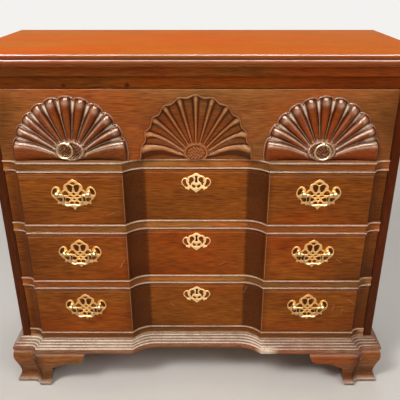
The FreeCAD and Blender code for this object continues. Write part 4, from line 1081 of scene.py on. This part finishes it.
ESCUTCHEON_PIERCINGS = [
    [(10.5, -10.2), (14.3, -12.3), (15.3, -16.1), (14.6, -19.3), (16.9, -22.5), (15, -24.4), (13.3, -29),
     (11.1, -23), (7.2, -19.3), (5.8, -15.9), (7.2, -12.4)],
    [(23.6, -15), (27.6, -15.8), (30, -21.4), (27.6, -27.9), (21.8, -32.6), (18.8, -29.7),
     (21.5, -25.8), (23.2, -21)],
    [(7.9, -27.4), (8.7, -30.8), (5.8, -34.3), (2.5, -33.9), (2.7, -30.4)],
]


def outline_of(stretches):
    """A closed outline, mirrored about x = 0, from smooth stretches of its right half."""
    right = np.concatenate([smooth_line(stretch, 5)[:-1] for stretch in stretches] + [stretches[-1][-1:]])
    return np.concatenate([right, (right * (-1, 1))[::-1][1:-1]])


def loop_of(corners, sign):
    """A closed smooth loop through points, mirrored if the sign is minus, and filed `FILED` wider."""
    corners = np.array(corners, float) * (sign, 1)
    loop = smooth_line(np.concatenate([corners[-2:], corners, corners[:3]]), 5)[10:-11]
    step = np.roll(loop, -1, axis=0) - np.roll(loop, 1, axis=0)
    across = points(step[:, 1], -step[:, 0]) / np.linalg.norm(step, axis=1)[:, None]
    outward = np.sign(np.sum(across * (loop - loop.mean(axis=0))))
    return loop + FILED * outward * across


def pierced(outline, pairs, singles=()):
    """A plate's outline and its piercings: pairs to the right and the left, and single ones."""
    return [outline_of(outline), *(loop_of(corners, sign) for corners in pairs for sign in (1, -1)),
            *(loop_of(corners, 1) for corners in singles)]


def keyhole():
    """The keyhole's outline: a round head over a slot that widens downwards."""
    head = arc((0, -9), (3.1, 3.1), -52, 232, 14)
    return np.concatenate([head, [(-1.9, -14.5), (-3.4, -22.8), (3.4, -22.8), (1.9, -14.5)]])


def plate(name, loops, places, wood_face, brass, body, node_name):
    """Thin cast plates with softened edges: flat outlines with their piercings, once at each place.

    They lie on wood whose face is at the depth `wood_face`. The curve is drawn flat, and its x, y
    and thickness then become x, z and y.
    """
    outline = bpy.data.curves.new(name, "CURVE")
    outline.dimensions = "2D"
    outline.fill_mode = "BOTH"
    outline.extrude = (PLATE_THICKNESS / 2 - PLATE_EDGE) * MM
    outline.bevel_depth = PLATE_EDGE * MM
    outline.bevel_resolution = 2
    outline.offset = -PLATE_EDGE * MM
    for place in places:
        for loop in loops:
            spline = outline.splines.new("POLY")
            spline.points.add(len(loop) - 1)
            x, z = ((loop + place) * MM).T
            spline.points.foreach_set("co", points(x, z, 0, 1).ravel())
            spline.use_cyclic_u = True
    drawn = placed(name + "_outline", outline)
    bpy.context.view_layer.update()
    mesh = bpy.data.meshes.new_from_object(drawn.evaluated_get(bpy.context.evaluated_depsgraph_get()))
    bpy.data.objects.remove(drawn)
    flat = np.zeros(len(mesh.vertices) * 3)
    mesh.vertices.foreach_get("co", flat)
    x, z, forward = flat.reshape(-1, 3).T
    middle = (wood_face - PLATE_THICKNESS / 2) * MM + FACE_PLANE
    mesh.vertices.foreach_set("co", points(x, middle - forward, z).ravel())
    mesh.materials.clear()
    fitted(placed(name, closed(mesh, 0.01, 50)), brass, body, node_name)


def tube(centre, across, radii):
    """Circles about a line in an upright plane, in the plane of y and of what lies across the line."""
    turn = np.linspace(0, 2 * np.pi, 17)[:, None]
    return centre[:, None] + radii * (np.cos(turn) * across[:, None] + np.sin(turn) * (0, 1, 0))


BAIL_DEPTH = -29.8
BAIL_LINE = [(39.3, 0, 2.6), (34, 0, 2.6), (27, 0, 2.6), (22.4, -0.8, 2.8), (20.6, -4.5, 3),
             (20.6, -11, 3.4), (20.2, -17.5, 3.8), (17.8, -23, 4.4), (12.2, -25.6, 4.7), (7, -24.6, 3.7),
             (3, -24, 3.1), (0, -23.8, 3.4)]


def bail(x, z):
    """A swan-necked bail whose pins lie at x, z: its half line mirrored, each point with a thickness."""
    half = smooth_line(BAIL_LINE, 6)
    line = np.concatenate([half, (half * (-1, 1, 1))[::-1][1:]])
    centre = points(line[:, 0] + x, BAIL_DEPTH, line[:, 1] + z)
    step = np.gradient(centre, axis=0)
    across = np.cross(step / np.linalg.norm(step, axis=1)[:, None], (0, 1, 0))
    return tube(centre, across, line[:, 2, None, None] / 2)


handle_loops = pierced(PLATE_OUTLINE, PLATE_PIERCINGS, PLATE_MIDDLES)
key_loops = pierced(ESCUTCHEON_OUTLINE, ESCUTCHEON_PIERCINGS) + [keyhole()]
for number, height in POST_HEIGHTS.items():
    body = f"drawer_{number}"
    plate(f"backplates_{number}", handle_loops, [(sign * HANDLE_PLACE, height) for _, sign in SIDES],
          -BLOCK_PROUD, plate_brass, body, f"handle_plates_{number}")
    plate(f"keyhole_plate_{number}", key_loops, [(0, OPENINGS[number][1] - KEY_PLATE_DROP)],
          RECESS_DEPTH, key_brass, body, f"escutcheon_{number}")
    finish(rod_brass, f"handle_posts_{number}")
    for side, sign in SIDES:
        name = f"bail_{number}_{side}"
        fitted(capped(f"swan_{name}", bail(sign * HANDLE_PLACE, height), crease=60), rod_brass, name,
               name)

RING_RADIUS = 16.4
RING_WIRE = 2.0
RING_DEPTH = -20.0
RING_POST = SHELL_BASE + 39.5
RING_LEANS = (33.0, 0.0)
finish(rod_brass, "ring_posts")
for (side, sign), lean in zip(SIDES, np.radians(RING_LEANS)):
    turn = np.linspace(0, 2 * np.pi, 49)
    outward = points(np.cos(turn), 0, np.sin(turn))
    hang = RING_RADIUS * np.array((math.sin(lean), 0, math.cos(lean)))
    middle = (sign * SHELL_PLACE, RING_DEPTH, RING_POST) - hang
    ring_grid = tube(middle + RING_RADIUS * outward, outward, RING_WIRE)
    fitted(solid(f"pull_{side}", [ring_grid], crease=60), rod_brass, f"ring_{side}", f"ring_{side}")

# ---------------------------------------------------------------------------------------------
# The studio: a pale floor that runs out of sight, a pale surround that is dimmer for diffuse
# light, three large soft lamps, and a warm one that only reflections show.
# ---------------------------------------------------------------------------------------------
FLOOR_TONE = (0.62, 0.59, 0.55, 1)
FLOOR_MOTTLE = (0.5766, 0.5487, 0.5115, 1)
FLOOR_REACH = 6.0
DIFFUSE_STRENGTH = 0.28

floor_paint, tree, shader, place = new_material("floor_paint")
feed(shader, {"Base Color": mixed(tree, noise(tree, place, (3, 3, 3)), FLOOR_TONE, FLOOR_MOTTLE),
              "Roughness": 0.7})
floor_mesh = bpy.data.meshes.new("floor")
floor_corners = [(x * FLOOR_REACH, y * FLOOR_REACH, 0) for x, y in ((-1, -1), (1, -1), (1, 1), (-1, 1))]
floor_mesh.from_pydata(floor_corners, [], [(0, 1, 2, 3)])
floor_mesh.materials.append(floor_paint)
floor = placed("floor", floor_mesh)


def lamp(name, place, aim, size, power, color=(1, 1, 1)):
    """A soft lamp, as wide and high as `size` says, at a place, turned towards a point."""
    light = bpy.data.lights.new(name, "AREA")
    light.shape = "RECTANGLE"
    light.size, light.size_y = size
    light.energy = power
    light.color = color
    hung = placed(name, light)
    hung.location = place
    x, y, z = np.array(aim) - np.array(place)
    hung.rotation_euler = (math.atan2(math.hypot(x, y), -z), 0, math.atan2(-x, y))
    return hung


lamp("key", (-1.2, -1.6, 2.4), (0, 0, 0.5), (0.7, 0.7), 54)
lamp("fill", (1.3, -1.9, 1.9), (0, 0, 0.4), (0.8, 0.8), 21)
lamp("back", (0.3, 1.6, 3.0), (0, 0, 0.6), (1.4, 1.4), 34)
sheen = lamp("sheen", (0, -1.3, 2.5), (0, 0, 0.4), (2.4, 0.9), 380, (1, 0.9, 0.75))
sheen.visible_diffuse = False

world = bpy.data.worlds.new("studio")
world.use_nodes = True
sky = world.node_tree
sky.nodes.clear()
path = node(sky, "LightPath")
seen = sums(sky, "MAXIMUM", path["Is Camera Ray"],
            sums(sky, "MAXIMUM", path["Is Glossy Ray"], path["Is Transmission Ray"]))
height = node(sky, "SeparateXYZ", {0: node(sky, "TexCoord")["Generated"]})["Z"]
pale = spread(sky, height, 0.05, 0.3, 0.9, 0.12)
strength = spread(sky, seen, 0, 1, DIFFUSE_STRENGTH, pale)
surround = node(sky, "Background", {"Color": (1, 0.985, 0.96, 1), "Strength": strength})[0]
node(sky, "OutputWorld", {"Surface": surround})
bpy.context.scene.world = world
bpy.context.scene.view_settings.view_transform = "Standard"

lens = bpy.data.cameras.new("camera")
lens.sensor_width = 36
lens.lens = 49.7
lens.shift_x = -0.0076
lens.shift_y = 0.1
camera = placed("camera", lens)
camera.location = (0.01655, -1.14135 + FACE_PLANE, 0.96571)
camera.rotation_euler = (math.radians(63.55), 0, math.radians(0.07))
bpy.context.scene.camera = camera
